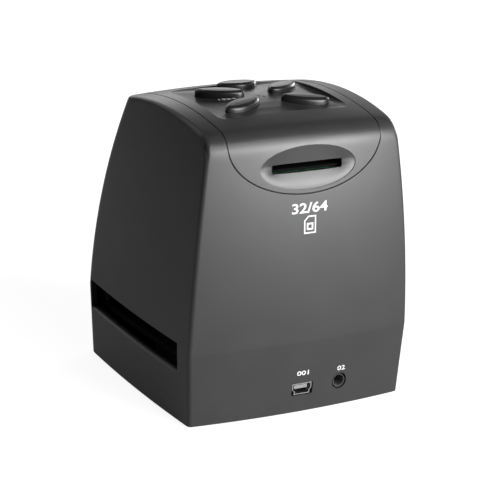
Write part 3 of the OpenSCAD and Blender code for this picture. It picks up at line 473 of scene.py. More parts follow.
def moulded(name, colour, rough, grain=0.35, depth=0.006, variation=0.06, specular=0.5):
    """Moulded plastic: a fine spark-eroded grain, slight clouding of colour and gloss."""
    m, nodes, links, surface, at = node_material(name)
    cloud = spread(nodes, links, noise(nodes, links, at, 14, 3), 0, 1)
    colour = np.array(colour)
    links.new(tint(nodes, links, cloud, colour * (1 - variation), colour * (1 + variation)),
              surface.inputs["Base Color"])
    fine = noise(nodes, links, at, grain, 2)
    links.new(spread(nodes, links, fine, rough - 0.04, rough + 0.04), surface.inputs["Roughness"])
    surface.inputs["Specular IOR Level"].default_value = specular
    bump(nodes, links, surface, fine, depth)
    return m


def sheet_metal(name, colour, rough, stretch=(1, 0.06, 1)):
    """Stamped or plated sheet: fine drawn lines along one axis and a little clouding."""
    m, nodes, links, surface, at = node_material(name)
    lines = noise(nodes, links, at, 0.12, 3, stretch)
    cloud = spread(nodes, links, noise(nodes, links, at, 3.0, 2), 0, 1)
    colour = np.array(colour)
    links.new(tint(nodes, links, cloud, colour * 0.85, np.minimum(colour * 1.08, 1)),
              surface.inputs["Base Color"])
    links.new(spread(nodes, links, lines, rough - 0.08, rough + 0.08), surface.inputs["Roughness"])
    surface.inputs["Metallic"].default_value = 1.0
    bump(nodes, links, surface, lines, 0.004)
    return m


def circuit_board(name):
    """Lacquered board: darker laminate with lighter copper tracks in straight runs under the lacquer."""
    m, nodes, links, surface, at = node_material(name)
    cells = nodes.new("ShaderNodeTexVoronoi")
    cells.distance, cells.feature = "MANHATTAN", "DISTANCE_TO_EDGE"
    cells.inputs["Scale"].default_value = 330
    links.new(at, cells.inputs["Vector"])
    tracks = spread(nodes, links, cells.outputs["Distance"], 1, 0, 0.02, 0.10)
    links.new(tint(nodes, links, tracks, LAMINATE, TRACK), surface.inputs["Base Color"])
    gloss = spread(nodes, links, noise(nodes, links, at, 2, 2), 0.22, 0.36)
    links.new(gloss, surface.inputs["Roughness"])
    surface.inputs["Coat Weight"].default_value = 0.4
    bump(nodes, links, surface, tracks, 0.03)
    return m


def lamp_glow(name, colour, strength):
    """Cast resin of a small lamp, faintly lit from inside."""
    m, nodes, links, surface, at = node_material(name)
    cloud = spread(nodes, links, noise(nodes, links, at, 1.0, 2), 0, 1)
    colour = np.array(colour)
    links.new(tint(nodes, links, cloud, colour * 0.9, colour), surface.inputs["Base Color"])
    surface.inputs["Roughness"].default_value = 0.35
    surface.inputs["Emission Color"].default_value = (*colour, 1)
    surface.inputs["Emission Strength"].default_value = strength
    bump(nodes, links, surface, cloud, 0.01)
    return m


def polished(name, colour, rough, smear, coat=1.0):
    """A polished window or lens: nearly even colour, low roughness with faint smears."""
    m, nodes, links, surface, at = node_material(name)
    cloud = noise(nodes, links, at, smear, 3)
    colour = np.array(colour)
    links.new(tint(nodes, links, spread(nodes, links, cloud, 0, 1), colour * 0.9, colour * 1.1),
              surface.inputs["Base Color"])
    links.new(spread(nodes, links, cloud, rough, rough + 0.04), surface.inputs["Roughness"])
    surface.inputs["Coat Weight"].default_value = coat
    surface.inputs["Coat Roughness"].default_value = 0.03
    return m


case_finish = moulded("case_matt", (0.040, 0.040, 0.041), 0.34)
key_rim_finish = moulded("key_gloss", (0.016, 0.016, 0.017), 0.30, depth=0.005)
# The key tops are coloured lighter than the rims as a painted sheen, standing in for light reflected
# from above.
key_top_sheen_finish = moulded("key_satin_painted_sheen", (0.08, 0.08, 0.081), 0.32, grain=0.25, depth=0.004)
jack_finish = moulded("jack_moulding", (0.085, 0.085, 0.087), 0.25, grain=0.4, depth=0.002,
                      specular=0.6)
print_finish = moulded("white_print", (0.80, 0.80, 0.80), 0.55, grain=0.2, depth=0.002,
                       variation=0.03)
rubber_finish = moulded("foot_rubber", (0.020, 0.020, 0.020), 0.75, grain=0.5, depth=0.02,
                        specular=0.3)
dark_finish = moulded("dark_moulding", (0.010, 0.010, 0.011), 0.5, grain=0.3)
# Black plastic of the card socket, made darker and duller than its own colour as painted shade inside
# the card slot.
socket_black_and_shade_finish = moulded("socket_black_painted_shade", (0.004, 0.004, 0.004), 0.85, grain=0.3, specular=0.08)
guide_finish = moulded("guide_matt", (0.022, 0.022, 0.022), 0.6, grain=0.3, depth=0.008,
                       specular=0.3)
grey_finish = moulded("grey_moulding", (0.16, 0.16, 0.165), 0.5)
tongue_finish = moulded("tongue_moulding", (0.30, 0.30, 0.30), 0.30, grain=0.3, depth=0.002)
white_finish = moulded("white_moulding", (0.72, 0.72, 0.69), 0.45)
opal_finish = moulded("opal_sheet", (0.82, 0.82, 0.80), 0.4, variation=0.02)
cable_finish = moulded("cable_film", (0.42, 0.19, 0.04), 0.3, grain=1.2, depth=0.004,
                       variation=0.12)
steel_finish = sheet_metal("sheet_steel", (0.56, 0.56, 0.57), 0.32)
screw_finish = sheet_metal("screw_steel", (0.42, 0.42, 0.44), 0.36, (1, 1, 0.2))
barrel_finish = sheet_metal("anodised_black", (0.035, 0.035, 0.036), 0.34, (1, 1, 0.1))
gold_finish = sheet_metal("contact_gold", (0.80, 0.57, 0.22), 0.26)
board_finish = circuit_board("circuit_board")
lamp_finish = lamp_glow("lamp_resin", (0.85, 0.80, 0.50), 0.05)
# Painted shade: the light pipes are coloured near black, standing in for the shade in their recessed
# holes.
lamp_pipe_shade_finish = polished("clear_pipe", (0.012, 0.012, 0.013), 0.38, 1.0, coat=0.0)
window_finish = polished("tinted_window", (0.010, 0.010, 0.012), 0.06, 25.0)
panel_finish = polished("display_glass", (0.020, 0.022, 0.030), 0.12, 25.0)
lens_finish = polished("coated_glass", (0.10, 0.12, 0.16), 0.05, 5.0)

# The CAD solids that are shown as they are.
NODE_FINISH = {
    case_finish: "base_plate",
    rubber_finish: "rubber_feet",
    screw_finish: "base_screws key_board_screws main_board_screws port_board_screws guide_screws "
                  "sensor_board_screws",
    steel_finish: "display_frame usb_shell card_socket_cover holder_detent_spring card_spring",
    dark_finish: "plunger_front plunger_left plunger_right plunger_rear_left plunger_rear_right "
                 "main_board_chips lens_holder",
    socket_black_and_shade_finish: "card_socket_base",
    grey_finish: "switch_bases",
    tongue_finish: "usb_tongue",
    board_finish: "key_board main_board port_board sensor_board",
    lamp_finish: "lamp_chips backlight_lamps",
    lamp_pipe_shade_finish: "lamp_pipes",
    gold_finish: "card_contacts usb_contacts jack_contacts",
    white_finish: "card_slider backlight_housing backlight_board",
    opal_finish: "diffuser",
    guide_finish: "lower_film_guide upper_film_guide light_tunnel",
    barrel_finish: "lens_barrel",
    lens_finish: "lens_elements",
    panel_finish: "display_panel image_sensor",
    window_finish: "display_window",
    cable_finish: "sensor_cable key_cable display_cable port_cable",
}
for finish, names in NODE_FINISH.items():
    for node_name in names.split():
        CAD[node_name].data.materials.clear()
        CAD[node_name].data.materials.append(finish)


# ---------------------------------------------------------------- case shells

COVER_HALF_W, TONGUE_Z, TONGUE_DROP, FRONT_SEAM_Z = 29.7, 97.3, 18.0, 97.1
SEAM, SEAM_BEVEL = 0.15, 0.30
CARD_X, CARD_Z, CARD_W, CARD_H = -0.4, 88.1, 27.0, 3.0
DISH_W, DISH_H, DISH_Z, DISH_DEPTH, DISH_STEP = 18.6, 7.5, 88.2, 1.2, 0.25
DISH_FACE = float(rear_y(0, DISH_Z, 0))
MOUTH_POWER, LIP_POWER = 0.35, 1.8
USB_X, USB_Z, USB_W, USB_H, USB_GAP = -0.5, 9.275, 7.7, 3.95, 0.35
JACK_X, JACK_Z, JACK_R, JACK_COLLAR_R, JACK_GAP = -15.6, 9.8, 1.8, 2.9, 0.1
SLOT_Y, SLOT_LEN, SLOT_Z, SLOT_H, SLOT_R, LIP_DROP = -2.4, 71.5, 19.2, 9.9, 0.5, 1.5
PANEL_HALF_W, PANEL_REAR, PANEL_FRONT, PANEL_DEPTH, PANEL_R = 24.3, 24.0, -15.4, 0.4, 2.0
PANEL_SLOPE, PANEL_BEVEL, PANEL_BEVEL_DROP = 0.55, 1.0, 0.17
# Each key: x, y, half its length, half its width, turn in degrees.
KEYS = {"front": (0, -10.4, 7.7, 5.2, 0), "left": (-12.4, 0, 8.6, 3.8, 35),
        "right": (12.4, 0, 8.6, 3.8, -35), "rear_left": (-12.4, 16.4, 8.3, 3.5, -22),
        "rear_right": (12.4, 16.4, 8.3, 3.5, 22)}
KEY_POWER, KEY_GAP = 1.75, 0.25
LAMPS, LAMP_R = ((0.8, 7.0), (-0.8, 8.2)), 0.7
POSTS = [(x, y) for x in (-32.5, 32.5) for y in (-36.4, 31.6)]
POST_R, POST_BORE_R, POST_Z, WEB_L, WEB_T = 2.6, 1.05, (3.0, 17.95), 9, 2
DISPLAY_LOW, DISPLAY_HIGH, DISPLAY_W = 53.0, 95.0, 57.6
DISPLAY_RISE = DISPLAY_HIGH - DISPLAY_LOW
DISPLAY_TILT = math.atan((float(front_y(0, DISPLAY_HIGH, 0)) - float(front_y(0, DISPLAY_LOW, 0)))
                         / DISPLAY_RISE)
DISPLAY_H = DISPLAY_RISE / math.cos(DISPLAY_TILT)
VIEW_W, VIEW_H = 50, 38
# Ranges that a cutting tool spans: right through the object, and across one wall.
DEEP = CASE_D / 2 + 1
REAR_CUT, TOP_CUT, BORE_CUT = (34, 46), (95, 110), (-1, 20)


def cover_region(grow, steps=96):
    """Everything that belongs to the top cover: a strip over the top, with half an ellipse below it at
    the rear, cut off level at the front."""
    a = np.linspace(0, math.pi, steps)
    half = COVER_HALF_W + grow
    curve = np.stack([-half * np.cos(a), TONGUE_Z - (TONGUE_DROP + grow) * np.sin(a)], -1)
    outline = np.concatenate([curve, [[half, CASE_H + 5], [-half, CASE_H + 5]]])
    region = loft("region", [lying(outline, -DEEP), lying(outline, DEEP)])
    cut(region, box_solid("front", (-CASE_W, -2 * DEEP, -1), (CASE_W, 0, FRONT_SEAM_Z - grow)))
    return region


def film_slot():
    """The slot for the film holder, right through from side to side. Its lower lip is rounded outwards
    by a quarter ellipse: drop = LIP_DROP (1 - sqrt(1 - u u)), u from 0 inside to 1 on the face."""
    middle = SLOT_Z + SLOT_H / 2
    outline = finer(round_rect(SLOT_LEN, SLOT_H, SLOT_R, 4), 2.0) + [SLOT_Y, middle]
    low = np.clip((middle - outline[:, 1]) / (SLOT_H / 2 - SLOT_R), 0, 1) > 0.99
    face = side_x(outline[:, 0], outline[:, 1], 0)
    rings = []
    for u in (0.0, 0.3, 0.55, 0.75, 0.9, 0.97, 1.0):
        z = outline[:, 1] - low * LIP_DROP * (1 - math.sqrt(1 - u * u))
        rings.append(np.column_stack([face - WALL * (1 - u), outline[:, 0], z]))
    rings.append(np.column_stack([face + 3, outline[:, 0], outline[:, 1] - low * LIP_DROP]))
    mirrored = [ring * [-1, 1, 1] for ring in rings[::-1]]
    return loft("slot", mirrored + rings)


def rear_surface(x, z):
    """Depth of the rear face at height z: rear_y, or the rounding y - REAR_RIDGE (1 - sqrt(b))^2 above
    it where that is further in, with b the height below the dome as a share of REAR_RIDGE."""
    y = rear_y(x, END_RIDGE_Z, 0)
    below = np.maximum(dome_z(x, y, 0) - z, 0) / REAR_RIDGE
    wall = rear_y(x, z, 0)
    rounding = y - REAR_RIDGE * (1 - np.sqrt(np.minimum(below, 1))) ** 2
    return np.where(below < 1, np.minimum(wall, rounding), wall)


def dish_tool():
    """The hollow round the card slot: rings at v from 0 on the oval outline to 1 on the slot's mouth.
    Its lower half rounds over like a lip, with depth DISH_STEP + (DISH_DEPTH - DISH_STEP) v^LIP_POWER,
    and its upper half is flat."""
    a = np.arange(128) * 2 * math.pi / 128
    c, s = np.cos(a), np.sin(a)
    oval = np.stack([CARD_X + DISH_W * c, DISH_Z + DISH_H * s], -1)
    mouth = np.stack([CARD_X + (CARD_W / 2 + 0.2) * signed_power(c, MOUTH_POWER),
                      CARD_Z + (CARD_H / 2 + 0.15) * signed_power(s, MOUTH_POWER)], -1)
    low = np.clip(0.5 - s * 1.6, 0, 1)
    low = low * low * (3 - 2 * low)
    rim_y = rear_surface(*oval.T) - DISH_STEP
    mouth_y = rear_surface(*mouth.T) - DISH_DEPTH
    rings = [lying(oval, DISH_FACE + 4), lying(oval, rim_y)]
    for v in np.linspace(0, 1, 17)[1:]:
        at = mix(oval, mouth, v)
        flat = mix(rim_y, mouth_y, v)
        round_over = rear_surface(*at.T) - DISH_STEP - (DISH_DEPTH - DISH_STEP) * v ** LIP_POWER
        rings.append(lying(at, mix(flat, round_over, low)))
    rings.append(lying(mouth, DISH_FACE - DISH_DEPTH - 1.2))
    return loft("dish", rings)


def key_outline(key, grow, n=96):
    """Lens-shaped outline of a key, between a rhombus and an ellipse: the superellipse
    |x / a|^KEY_POWER + |y / b|^KEY_POWER = 1."""
    a = np.arange(n) * 2 * math.pi / n
    return np.stack([(key[2] + grow) * signed_power(np.cos(a), 2 / KEY_POWER),
                     (key[3] + grow) * signed_power(np.sin(a), 2 / KEY_POWER)], -1)


def turned(points, key):
    """Turns a key's outline and moves it to the key's place."""
    a = math.radians(key[4])
    turn = np.array([[math.cos(a), math.sin(a)], [-math.sin(a), math.cos(a)]])
    return points @ turn + [key[0], key[1]]


def panel_tool():
    """The key panel's recess: a floor PANEL_DEPTH below dome_z, a sloping edge, and a thin bevel."""
    deep = PANEL_REAR - PANEL_FRONT
    rings = []

    def ring(grow, down, share=1.0):
        outline = round_rect(2 * (PANEL_HALF_W + grow), deep + 2 * grow, PANEL_R + grow, 8)
        p = outline * share + [0, (PANEL_REAR + PANEL_FRONT) / 2]
        rings.append(np.column_stack([p, dome_z(p[:, 0], p[:, 1], down)]))

    for share in (0.02, 0.25, 0.5, 0.75, 1.0):
        ring(-PANEL_SLOPE, PANEL_DEPTH, share)
    ring(0, PANEL_BEVEL_DROP)
    ring(PANEL_BEVEL, 0)
    rings.append(rings[-1] + [0, 0, 0.7])
    rings.append(upright(rings[-1][:, :2], CASE_H + 4))
    return loft("panel", rings)


def seam_y(x, z, wall, inner_of):
    """Depth of the outside at height z and x: where the rounded edge passes z, found by halving between
    the crown and the wall, or the wall itself where that is further in."""
    near, far = np.full(x.shape, CROWN_Y), wall(x, np.minimum(z, END_RIDGE_Z + 2), 0) + 0 * x
    for _ in range(40):
        middle = (near + far) / 2
        inside = top_z(x, middle, 0) > z
        near, far = np.where(inside, middle, near), np.where(inside, far, middle)
    return inner_of(near, wall(x, z, 0))


def surface_loop():
    """Points along the seam, on the outside of the case: up the front, over the top on both sides, and
    down round the tongue."""
    half = COVER_HALF_W
    fx = np.linspace(-half, half, 60)
    fz = np.full(fx.shape, FRONT_SEAM_Z)
    front = np.stack([fx, seam_y(fx, fz, front_y, np.maximum), fz], -1)
    a = np.linspace(0, math.pi, 140)
    rx, rz = half * np.cos(a), TONGUE_Z - TONGUE_DROP * np.sin(a)
    rear = np.stack([rx, seam_y(rx, rz, rear_y, np.minimum), rz], -1)
    t = (1 - np.cos(np.linspace(0, math.pi, 140))) / 2
    y = mix(front[-1, 1], rear[0, 1], t)[1:-1]
    x = np.full(y.shape, half)
    side = np.stack([x, y, top_z(x, y, 0)], -1)
    return np.concatenate([front, side, rear, side[::-1] * [-1, 1, 1]])


def chamfer_tool():
    """A thin four-sided rope along the seam; it bevels both edges of it."""
    path = surface_loop()
    ahead = np.roll(path, -1, 0) - np.roll(path, 1, 0)
    ahead /= np.linalg.norm(ahead, axis=1)[:, None]
    out = path - [0, 0, 55]
    out -= (out * ahead).sum(1)[:, None] * ahead
    out /= np.linalg.norm(out, axis=1)[:, None]
    across = np.cross(ahead, out)
    corners = [path + SEAM_BEVEL * (across * u + out * v)
               for u, v in ((1, 0), (0, 1), (-1, 0), (0, -1))]
    return loft("chamfer", np.stack(corners, 1), "joined")


def on_front_solid(name, outline, out_from, out_to):
    """A prism on the sloping front face: its outline is drawn with x across and y up the face, and its
    ends lie out_from and out_to outside it."""
    p = np.stack([upright(outline, out_from), upright(outline, out_to)])
    c, s = math.cos(DISPLAY_TILT), math.sin(DISPLAY_TILT)
    up, out = p[..., 1] + DISPLAY_H / 2, p[..., 2]
    y = float(front_y(0, DISPLAY_LOW, 0)) + up * s - out * c
    z = DISPLAY_LOW + up * c + out * s
    return loft(name, np.stack([p[..., 0], y, z], -1))


def build_body(body, thin):
    """The case body: screw posts and display pad inside, and the openings of its walls."""
    for x, y in POSTS:
        boss = prism("post", circle(POST_R, 32), *POST_Z, (x, y))
        web_at = (x + math.copysign(WEB_L / 2, x), y)
        add(boss, prism("web", round_rect(WEB_L, WEB_T, 0.9, 4), *POST_Z, web_at))
        keep(boss, copy_of(thin, "thin_copy"))
        add(body, boss)
        cut(body, prism("bore", circle(POST_BORE_R, 32), *BORE_CUT, (x, y)))
    pad = on_front_solid("pad", round_rect(DISPLAY_W + 6, DISPLAY_H + 4, 3), -3.3, -1.5)
    keep(pad, copy_of(thin, "thin_copy"))
    add(body, pad)
    cut(body, cover_region(SEAM), film_slot(),
        on_front_solid("seat", round_rect(DISPLAY_W + 0.4, DISPLAY_H + 0.4, 2.5), -1.5, 4.5),
        on_front_solid("view", round_rect(VIEW_W, VIEW_H, 1), -10, 2))
    usb = round_rect(USB_W + 2 * USB_GAP, USB_H + 2 * USB_GAP, 0.6, 4) + [USB_X, USB_Z]
    jack = circle(JACK_COLLAR_R + JACK_GAP) + [JACK_X, JACK_Z]
    for name, outline in (("usb_cut", usb), ("jack_cut", jack)):
        cut(body, loft(name, [lying(outline, y) for y in REAR_CUT]))
    cut(body, chamfer_tool())
    settle(body, "case", [case_finish], ["body_shell"])


def build_cover(cover, thin):
    """The top cover: backing of the dish, key panel, dish with the card slot, key and lamp holes."""
    a = np.arange(64) * 2 * math.pi / 64
    around = np.stack([CARD_X + (CARD_W / 2 + 3) * np.cos(a),
                       CARD_Z + (CARD_H / 2 + 3.5) * np.sin(a)], -1)
    boss = loft("boss", [lying(around, DISH_FACE), lying(around, DISH_FACE - DISH_DEPTH - 1.8)])
    keep(boss, copy_of(thin, "thin_copy"))
    add(cover, boss)
    cut(cover, panel_tool())
    keep(cover, cover_region(0))
    x0, x1 = CARD_X - CARD_W / 2, CARD_X + CARD_W / 2
    z0, z1 = CARD_Z - CARD_H / 2, CARD_Z + CARD_H / 2
    pocket_y = DISH_FACE - DISH_DEPTH - 0.45
    cut(cover, dish_tool(), box_solid("card_cut", (x0, 20, z0), (x1, 46, z1)),
        box_solid("card_pocket", (x0 - 0.8, 30, z0 - 0.25), (x1 + 0.8, pocket_y, z1 + 0.9)))
    for key in KEYS.values():
        hole = turned(key_outline(key, KEY_GAP), key)
        cut(cover, prism("key_cut", hole, *TOP_CUT))
    for at in LAMPS:
        cut(cover, prism("lamp_cut", circle(LAMP_R, 32), *TOP_CUT, at))
    cut(cover, chamfer_tool())
    settle(cover, "case", [case_finish], ["top_cover"])


def build_shells():
    """Both shells: a smooth closed skin, hollowed, then divided along the cover's seam."""
    shell = skin("cover_shell", 0, FOOT, FINE)
    cut(shell, skin("inner", WALL, -1, COARSE))
    thin = skin("thin", WALL / 2, 0, COARSE)
    build_body(copy_of(shell, "case_shell"), thin)
    build_cover(shell, thin)
    bpy.data.objects.remove(thin)


build_shells()


# ---------------------------------------------------------------- video jack

NOSE_R, NOSE_BEVEL, GROOVE_R, GROOVE_DEPTH = 2.35, 0.12, 4.0, 1.0
JACK_WELD = 1e-4


def turned_ring(name, profile):
    """Solid of revolution about the jack's axis, from a closed profile of (radius, y)."""
    around = circle(1.0)
    flat = np.asarray(profile, float)
    x, z = (at + flat[:, :1] * around[None, :, i] for i, at in enumerate((JACK_X, JACK_Z)))
    points = np.stack([x, np.broadcast_to(flat[:, 1:], x.shape), z], -1)
    return loft(name, points, "joined")


def build_jack():
    """The video jack with a nose: a groove round its hole's collar and a bevel at the hole's rim."""
    jack = copy_of(CAD["jack_body"], "jack_nose")
    jack.data.transform(Matrix.Scale(1 / MM, 4))
    with edited(jack.data) as b:
        bmesh.ops.remove_doubles(b, verts=b.verts, dist=JACK_WELD)
    face = max(v.co.y for v in jack.data.vertices)
    bottom, above = face - GROOVE_DEPTH, face + 1
    cut(jack, turned_ring("groove", [(NOSE_R, bottom), (GROOVE_R, bottom), (GROOVE_R, above),
                                     (NOSE_R, above)]))
    rim = NOSE_R - NOSE_BEVEL
    profile = ((JACK_R - 0.1, face - 0.45), (rim, face + 0.02), (rim, above))
    cut(jack, loft("bevel", [lying(circle(r) + [JACK_X, JACK_Z], y) for r, y in profile]))
    settle(jack, "case", [jack_finish], ["jack_body"])


build_jack()


# ---------------------------------------------------------------- keys

KEY_FLANGE, KEY_FLANGE_H, KEY_HANG = 1.0, 1, 1.3
KEY_RISE, RIM_W, RIM_H, RIM_STEPS = 1.70, 1.55, 1.15, 8
CROWN_INSET, CROWN_DROP = 0.10, 0.01
# Rings of the key's top: share of its outline, and rise above the dome.
KEY_CROWN = ((0.96, 1.70), (0.85, 1.72), (0.66, 1.75), (0.42, 1.775), (0.18, 1.79))


def build_key(name, key, body):
    """A key cap: flange below, upright wall, a glossy rim rounded by a quarter ellipse RIM_W by RIM_H,
    and a slightly domed satin top, whose lighter colour is a painted sheen."""
    flange = turned(key_outline(key, KEY_FLANGE), key)
    wall = turned(key_outline(key, 0), key)
    bottom = float(dome_z(flange[:, 0], flange[:, 1], WALL).min()) - KEY_HANG
    rings = [upright(flange, bottom), upright(flange, bottom + KEY_FLANGE_H),
             upright(wall, bottom + KEY_FLANGE_H)]

    def ring(shrink, rise, share=1.0):
        p = turned(key_outline(key, -shrink) * share, key)
        rings.append(np.column_stack([p, dome_z(p[:, 0], p[:, 1], 0) + rise]))

    ring(0, -0.3)
    ring(0, KEY_RISE - RIM_H)
    for a in np.linspace(0, math.pi / 2, RIM_STEPS + 1)[1:]:
        ring(RIM_W * (1 - math.cos(a)), KEY_RISE - RIM_H + RIM_H * math.sin(a))
    ring(RIM_W + CROWN_INSET, KEY_RISE - CROWN_DROP)
    crown_from = len(rings)
    for share, rise in KEY_CROWN:
        ring(RIM_W + CROWN_INSET, rise, share)
    obj = loft(name, rings)
    # The faces are in the order of the rings, with the bottom and then the top last.
    # Material 1, the lighter colour that paints the sheen, goes on the crown's faces.
    index = np.zeros(len(obj.data.polygons), np.int32)
    index[(crown_from - 1) * len(wall):] = 1
    index[-2] = 0
    settle(obj, body, [key_rim_finish, key_top_sheen_finish], [name], KEY_ANGLE,
           weighted=False)
    obj.data.polygons.foreach_set("material_index", index[:len(obj.data.polygons)])


for key_name, key_values in KEYS.items():
    CAD["key_" + key_name].name = "key_" + key_name + "_cad"
    build_key("key_" + key_name, key_values, key_name + "_key")


# ---------------------------------------------------------------- printed marks

# A mark reaches from just below the surface to just above it.
PRINT_LOW, PRINT_HIGH = -0.03, 0.02
FONT_SWELL, FONT_WELD = 0.02, 1e-5
# Rear numbers: name, digits, centre (right and up, seen from the rear), width, height.
REAR_NUMBERS = (
    ("slot_number", "32/64", (0.7, 74.4), 14.0, 3.6),
    ("usb_number", "001", (0.4, 15.2), 4.75, 1.75),
    ("jack_number", "02", (16.1, 14.6), 3.2, 1.75),
)
# The card outline's centre and size, the width of its line and how much its corner is clipped.
CARD_MARK_AT, CARD_MARK_W, CARD_MARK_H, CARD_STROKE, CARD_CLIP = (0.8, 68.5), 4.7, 6.2, 0.5, 0.34
PANEL_MARK_AT, PANEL_MARK_W, PANEL_MARK_H, PANEL_MARK_TURN = (-12.9, -6.5), 6.4, 1.5, -8


def on_rear(flat, lift):
    """Lays a flat drawing (x to the viewer's right, so towards -X, and z up) on the rear face."""
    x, z = -flat[:, 0], flat[:, 1]
    return np.column_stack([x, rear_surface(x, z) + lift, z])


def on_top(flat, lift):
    """Lays a flat drawing on the floor of the key panel, read from the rear."""
    x, y = -flat[:, 0], -flat[:, 1]
    return np.column_stack([x, y, dome_z(x, y, PANEL_DEPTH) + lift])


def print_mark(name, flat, caps, lay):
    """A thin closed piece between two copies of a flat drawing that follow the surface."""
    n = len(flat)
    edges = dict.fromkeys((a, b) for f in caps for a, b in zip(f, f[1:] + f[:1]))
    faces = [f[::-1] for f in caps] + [[i + n for i in f] for f in caps]
    faces += [[a, b, b + n, a + n] for a, b in edges if (b, a) not in edges]
    obj = make_object(name, np.concatenate([lay(flat, PRINT_LOW), lay(flat, PRINT_HIGH)]), faces)
    settle(obj, "case", [print_finish], weighted=False)


def number_drawing(digits, centre, width, height, turn=0.0):
    """Flat mesh of a plain number, scaled to a width and height about a centre."""
    curve = bpy.data.curves.new("number", "FONT")
    curve.body, curve.resolution_u, curve.fill_mode, curve.offset = digits, 3, "FRONT", FONT_SWELL
    shape = place("number", curve)
    bpy.context.view_layer.update()
    shown = shape.evaluated_get(bpy.context.evaluated_depsgraph_get())
    mesh = bpy.data.meshes.new_from_object(shown)
    with edited(mesh) as b:
        bmesh.ops.remove_doubles(b, verts=b.verts, dist=FONT_WELD)
    flat = np.array([v.co[:2] for v in mesh.vertices])
    caps = [list(f.vertices) for f in mesh.polygons]
    bpy.data.objects.remove(shape)
    bpy.data.curves.remove(curve)
    bpy.data.meshes.remove(mesh)
    low, high = flat.min(0), flat.max(0)
    flat = (flat - (low + high) / 2) / (high - low) * [width, height]
    c, s = math.cos(math.radians(turn)), math.sin(math.radians(turn))
    return flat @ np.array([[c, s], [-s, c]]) + centre, caps


def band(outer, inner):
    """Flat ring between two outlines of equal length."""
    n = len(outer)
    return (np.concatenate([outer, inner]),
            [[i, (i + 1) % n, (i + 1) % n + n, i + n] for i in range(n)])


def card_drawing(centre, w, h, stroke):
    """Outline of a memory card with one corner clipped, and a small window in it."""
    def clipped(w, h, clip):
        return np.array([(w / 2, -h / 2), (w / 2, h / 2), (-w / 2 + clip, h / 2),
                         (-w / 2, h / 2 - clip), (-w / 2, -h / 2)]) + centre

    clip = w * CARD_CLIP
    outline = band(clipped(w, h, clip),
                   clipped(w - 2 * stroke, h - 2 * stroke, clip - stroke * 0.6))
    window = np.array([(1, -1), (1, 1), (-1, 1), (-1, -1)]) * [w * 0.27, h * 0.2]
    middle = np.array(centre) - [0, h * 0.1]
    return outline, band(window + middle, window * 0.5 + middle)


def print_marks():
    for name, *number in REAR_NUMBERS:
        print_mark(name, *number_drawing(*number), on_rear)
    card = card_drawing(CARD_MARK_AT, CARD_MARK_W, CARD_MARK_H, CARD_STROKE)
    for i, (flat, caps) in enumerate(card):
        print_mark("card_mark_%d" % i, flat, caps, on_rear)
    number = number_drawing("1234", PANEL_MARK_AT, PANEL_MARK_W, PANEL_MARK_H, PANEL_MARK_TURN)
    print_mark("panel_number", *number, on_top)


print_marks()


# ---------------------------------------------------------------- studio

FLOOR_HALF_M, FLOOR_COLOUR, FLOOR_LIFT, GLOSSY_SHARE = 4.0, (0.50, 0.50, 0.50, 1), 0.9, 0.15
# The world's dim tone, and its pale band for mirrored rays: its level, the heights between which it
# comes up and goes down, the way beyond the object, and the range of that way's share.
WORLD_DIM, BAND, BAND_RISE, BAND_FALL = 0.02, 0.9, (0.10, 0.20), (0.36, 0.50)
BEYOND, BEYOND_RANGE = (-0.5, -0.866, 0), (-0.1, 0.3)
LAMP_AIM_M = (0, 0, 0.05)
# Each lamp: name, azimuth and elevation in degrees, distance, width and height in metres, watts.
LAMPS_ROUND = (
    ("low_key", 210, 4, 1.2, 0.5, 0.32, 10.4),
    ("key", 205, 19, 1.2, 0.9, 0.35, 9.6),
    ("high_key", 195, 38, 1.2, 0.8, 0.35, 4.0),
    ("far_side", 300, 8, 1.2, 0.5, 0.35, 5.0),
    ("far_glow", 340, 12, 1.2, 0.6, 0.3, 0.8),
    ("front_fill", 20, 48, 1.2, 0.6, 0.4, 0.8),
)


def reckon(nodes, links, operation, *values):
    """Output of a math node whose inputs are numbers or other nodes' outputs."""
    node = nodes.new("ShaderNodeMath")
    node.operation = operation
    for socket, value in zip(node.inputs, values):
        if isinstance(value, float):
            socket.default_value = value
        else:
            links.new(value, socket)
    return node.outputs[0]


def seen_tone(nodes, links, for_glossy):
    """1 for rays from the camera or through glass, and for_glossy(Is Glossy Ray) for the others."""
    path = nodes.new("ShaderNodeLightPath").outputs
    seen = reckon(nodes, links, "MAXIMUM", path["Is Camera Ray"], path["Is Transmission Ray"])
    return reckon(nodes, links, "MAXIMUM", seen, for_glossy(path["Is Glossy Ray"]))


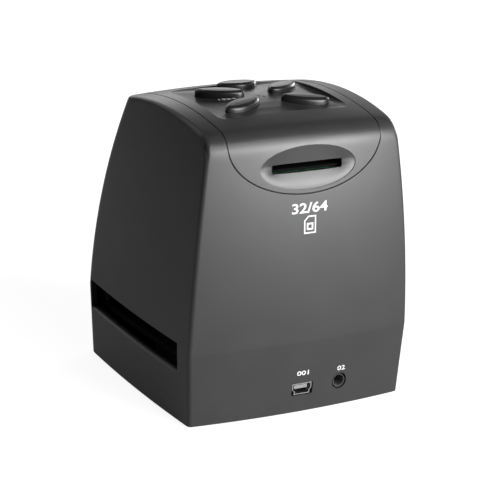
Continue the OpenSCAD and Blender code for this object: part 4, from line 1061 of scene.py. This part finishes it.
def stage_floor():
    """A wide grey floor; what the camera sees of it is lifted to white, all but the soft shadow."""
    mesh = bpy.data.meshes.new("floor")
    corners = [(x * FLOOR_HALF_M, y * FLOOR_HALF_M, 0)
               for x, y in ((-1, -1), (1, -1), (1, 1), (-1, 1))]
    mesh.from_pydata(corners, [], [(0, 1, 2, 3)])
    floor = place("floor", mesh)
    m = bpy.data.materials.new("floor_paper")
    m.use_nodes = True
    nodes, links = m.node_tree.nodes, m.node_tree.links
    surface = nodes["Principled BSDF"].inputs
    surface["Base Color"].default_value = FLOOR_COLOUR
    surface["Roughness"].default_value = 0.9
    surface["Specular IOR Level"].default_value = 0.0
    surface["Emission Color"].default_value = (1, 1, 1, 1)
    tone = seen_tone(nodes, links, lambda ray: reckon(nodes, links, "MULTIPLY", ray, GLOSSY_SHARE))
    links.new(reckon(nodes, links, "MULTIPLY", tone, FLOOR_LIFT), surface["Emission Strength"])
    mesh.materials.append(m)


def studio_world():
    """White to the camera and dim to the rest, but for a pale band low down beyond the object, which
    only mirrored rays see."""
    world = bpy.data.worlds.new("studio")
    world.use_nodes = True
    SCENE.world = world
    nodes, links = world.node_tree.nodes, world.node_tree.links
    way = nodes.new("ShaderNodeTexCoord").outputs["Generated"]
    height = nodes.new("ShaderNodeSeparateXYZ")
    links.new(way, height.inputs[0])
    beyond = nodes.new("ShaderNodeVectorMath")
    beyond.operation = "DOT_PRODUCT"
    beyond.inputs[1].default_value = BEYOND
    links.new(way, beyond.inputs[0])
    level = spread(nodes, links, beyond.outputs["Value"], 0, BAND, *BEYOND_RANGE)
    for low, high, heights in ((0, 1, BAND_RISE), (1, 0, BAND_FALL)):
        share = spread(nodes, links, height.outputs["Z"], low, high, *heights)
        level = reckon(nodes, links, "MULTIPLY", level, share)
    tone = seen_tone(nodes, links,
                     lambda ray: reckon(nodes, links, "MULTIPLY_ADD", level, ray, WORLD_DIM))
    links.new(tone, nodes["Background"].inputs["Color"])


def studio_lamps():
    """Soft area lamps, most of them low behind the camera's right shoulder."""
    for name, azimuth, elevation, distance, width, height, power in LAMPS_ROUND:
        data = bpy.data.lights.new(name, "AREA")
        data.shape, data.size, data.size_y, data.energy = "RECTANGLE", width, height, power
        back, turn = facing(azimuth, elevation)
        at = (back * distance + LAMP_AIM_M).tolist()
        place(name, data).matrix_world = Matrix.Translation(at) @ turn


stage_floor()
studio_world()
studio_lamps()
SCENE.view_settings.view_transform = "Standard"
